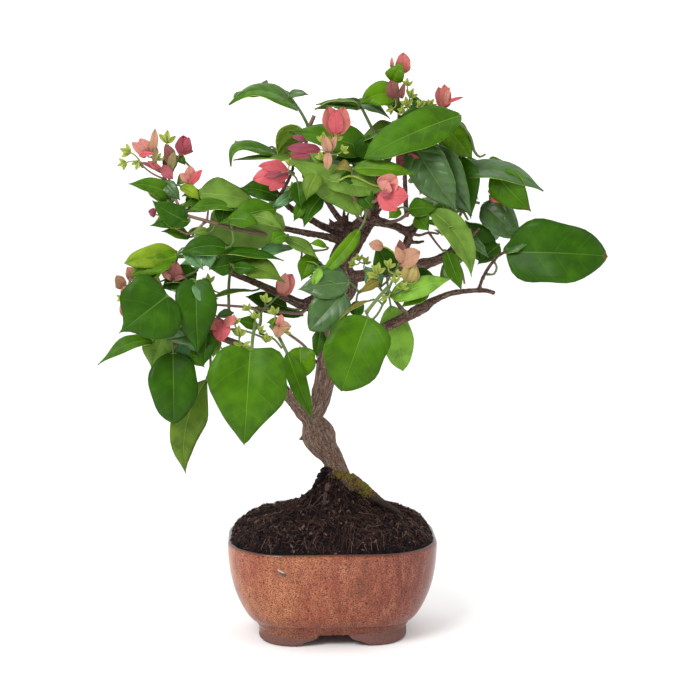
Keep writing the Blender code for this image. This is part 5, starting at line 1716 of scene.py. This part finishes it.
# %% Growing the sprays
MASSES = {  # which piece the leaves of each plain mass join
    "leaves_left": (
        "top_left", "pad_left", "reach_left", "inner_left", "shelf_left", "low_left", "inner_front",
    ),
    "leaves_right": (
        "top_middle", "summit", "upper_right", "upper_centre", "centre_front", "middle_right", "inner_right",
        "shoulder_right", "arm_right",
    ),
    "leaves_back": ("back_left", "back_centre", "back_right", "back_low_left", "back_low_right"),
}
SPRAY_TONES = ("deep", "mid", "mid", "fresh", "blue", "olive", "deep", "pale")
LEAF_LENGTHS = (17, 31)
NODE_GAP, NODE_STEPS = 11.0, 4  # from leaf to leaf along a shoot, in millimetres and in steps of its path
SHOOT_REACH = (14.0, 72.0)
SHOWN_LEAF, SHOWN_SHOOT = 0.1, 0.3  # the shares of them that may show between the near leaves
CLEARANCE = 1.5  # how far behind the near leaves a thing must lie to count as hidden
WOOD_GAP = 0.8
CROWDING, RECENT = 0.36, 400  # how near the middles of leaves may lie, and how many of the last are asked
TRIES_PER_MASS, TRIES_PER_LEAF = 420, 4
OVERHANG = 9.0  # how far a leaf may stand past the solid model's own box
box_low, box_high = (np.array(corner) / MM - POT_MIDDLE for corner in cad_box)
dice = random.Random(SEED)
spray_heaps = {name: Heap() for name in MASSES}
leaf_middles = []
spray_count, spray_leaf_count = 0, 0


def hidden_share(points):
    """How much of a thing lies behind the near leaves."""
    x, z, depth = board_cells(points)
    return float((cover[x, z] < depth - CLEARANCE).mean())


def free_of_wood(points):
    """Whether points keep clear of the limbs."""
    for point in points[::3]:
        _, number, distance = tree.find(point)
        if distance < samples[number][3] + WOOD_GAP:
            return False
    return True


def try_leaf(node, along, side, size, outward):
    """One leaf of a spray, if there is room for it: returns its foot, direction and blade, or nothing."""
    for _ in range(TRIES_PER_LEAF):
        sway = np.array([dice.uniform(-0.35, 0.35) for _ in range(3)])
        line = unit(along * 0.45 + side * 0.9 + outward * 0.35 + sway + (0, 0, -0.1))
        length = size * dice.uniform(0.8, 1.15)
        foot = node + line * dice.uniform(4.0, 8.0)
        tip = foot + line * length + np.array((0.0, 0.0, -0.14 * length))
        face = UP * 0.75 + outward * 0.55 + np.array([dice.uniform(-0.35, 0.35) for _ in range(3)])
        points, faces, kinds = bent_blade(
            foot, tip, length * dice.uniform(0.52, 0.7), face=face, fold=dice.uniform(4, 24),
            arch=length * dice.uniform(0.04, 0.14), hook=0.6, outline=dice.choice(("egg", "heart")), veins=0,
            columns=2, phase=dice.uniform(0, 6), quilt=0.8, wave=0.8,
        )
        middle = points.mean(0)
        if (points < box_low - OVERHANG).any() or (points > box_high + OVERHANG).any():
            continue
        near = leaf_middles[-RECENT:]
        if any(np.linalg.norm(middle - other) < CROWDING * (length + reach) for other, reach in near):
            continue
        if hidden_share(points) >= 1.0 - SHOWN_LEAF and free_of_wood(points):
            leaf_middles.append((middle, length * 0.55))
            return foot, line, points, faces, kinds
    return None


for heap_name, masses in MASSES.items():
    for mass in masses:
        low, high = (np.array(corner) / MM - POT_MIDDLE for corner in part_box("foliage_" + mass))
        middle, half = (low + high) / 2, (high - low) / 2
        for _ in range(TRIES_PER_MASS):
            goal = middle + half * unit(np.array([dice.gauss(0, 1) for _ in range(3)])) * dice.random() ** 0.5
            rows = np.array(skeleton)
            start = int(np.argmin(np.linalg.norm(rows[:, :3] - goal, axis=1)))
            length = float(np.linalg.norm(rows[start, :3] - goal))
            if not SHOOT_REACH[0] < length < SHOOT_REACH[1]:
                continue
            first = rows[start, :3]
            bulge = (first + goal) / 2 + UP * 0.1 * length + np.array([dice.uniform(-3, 3) for _ in range(3)])
            thick = min(1.25, 0.75 + length / 120.0)
            path = smooth([(*first, thick), (*bulge, thick * 0.85), (*goal, 0.6)], NODE_GAP / NODE_STEPS)
            tone = dice.choice(SPRAY_TONES)
            last, stalks = 0, []
            for number in range(NODE_STEPS, len(path), NODE_STEPS):
                node = path[number, :3]
                if hidden_share(path[number - NODE_STEPS : number + 1, :3]) < 1.0 - SHOWN_SHOOT:
                    break
                along = unit(path[number, :3] - path[number - 1, :3])
                turn = 1 if (number // NODE_STEPS) % 2 else -1
                side = unit(np.cross(along, UP)) * turn
                outward = unit((node - middle) / half)
                grown = try_leaf(node, along, side, dice.uniform(*LEAF_LENGTHS), outward)
                if grown:
                    foot, line, points, faces, kinds = grown
                    tone_here = tone if dice.random() < 0.75 else dice.choice(SPRAY_TONES)
                    spray_heaps[heap_name].add(points, faces, blade_slots(tone_here, kinds))
                    stalks.append((node, foot, line))
                    spray_leaf_count += 1
                    last = number
            if last:
                add_shoot(path[: last + 1], "brown")
                for node, foot, line in stalks:
                    bend = foot - line * 2.5
                    add_shoot(np.array([(*node, 0.7), (*bend, 0.6), (*foot, 0.55)]), "green")
                spray_count += 1
print("sprays:", spray_count, "with leaves:", spray_leaf_count)
for heap_name, masses in MASSES.items():
    leaf_piece(spray_heaps[heap_name], heap_name, ["foliage_" + mass for mass in masses])

# %% All twigs and stalks as one piece
shoot_piece = shoots.piece("twigs", shoot_finishes)
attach(shoot_piece, "root")
for name in GREEN:
    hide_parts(name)
print("twigs, faces:", len(shoot_piece.data.polygons))
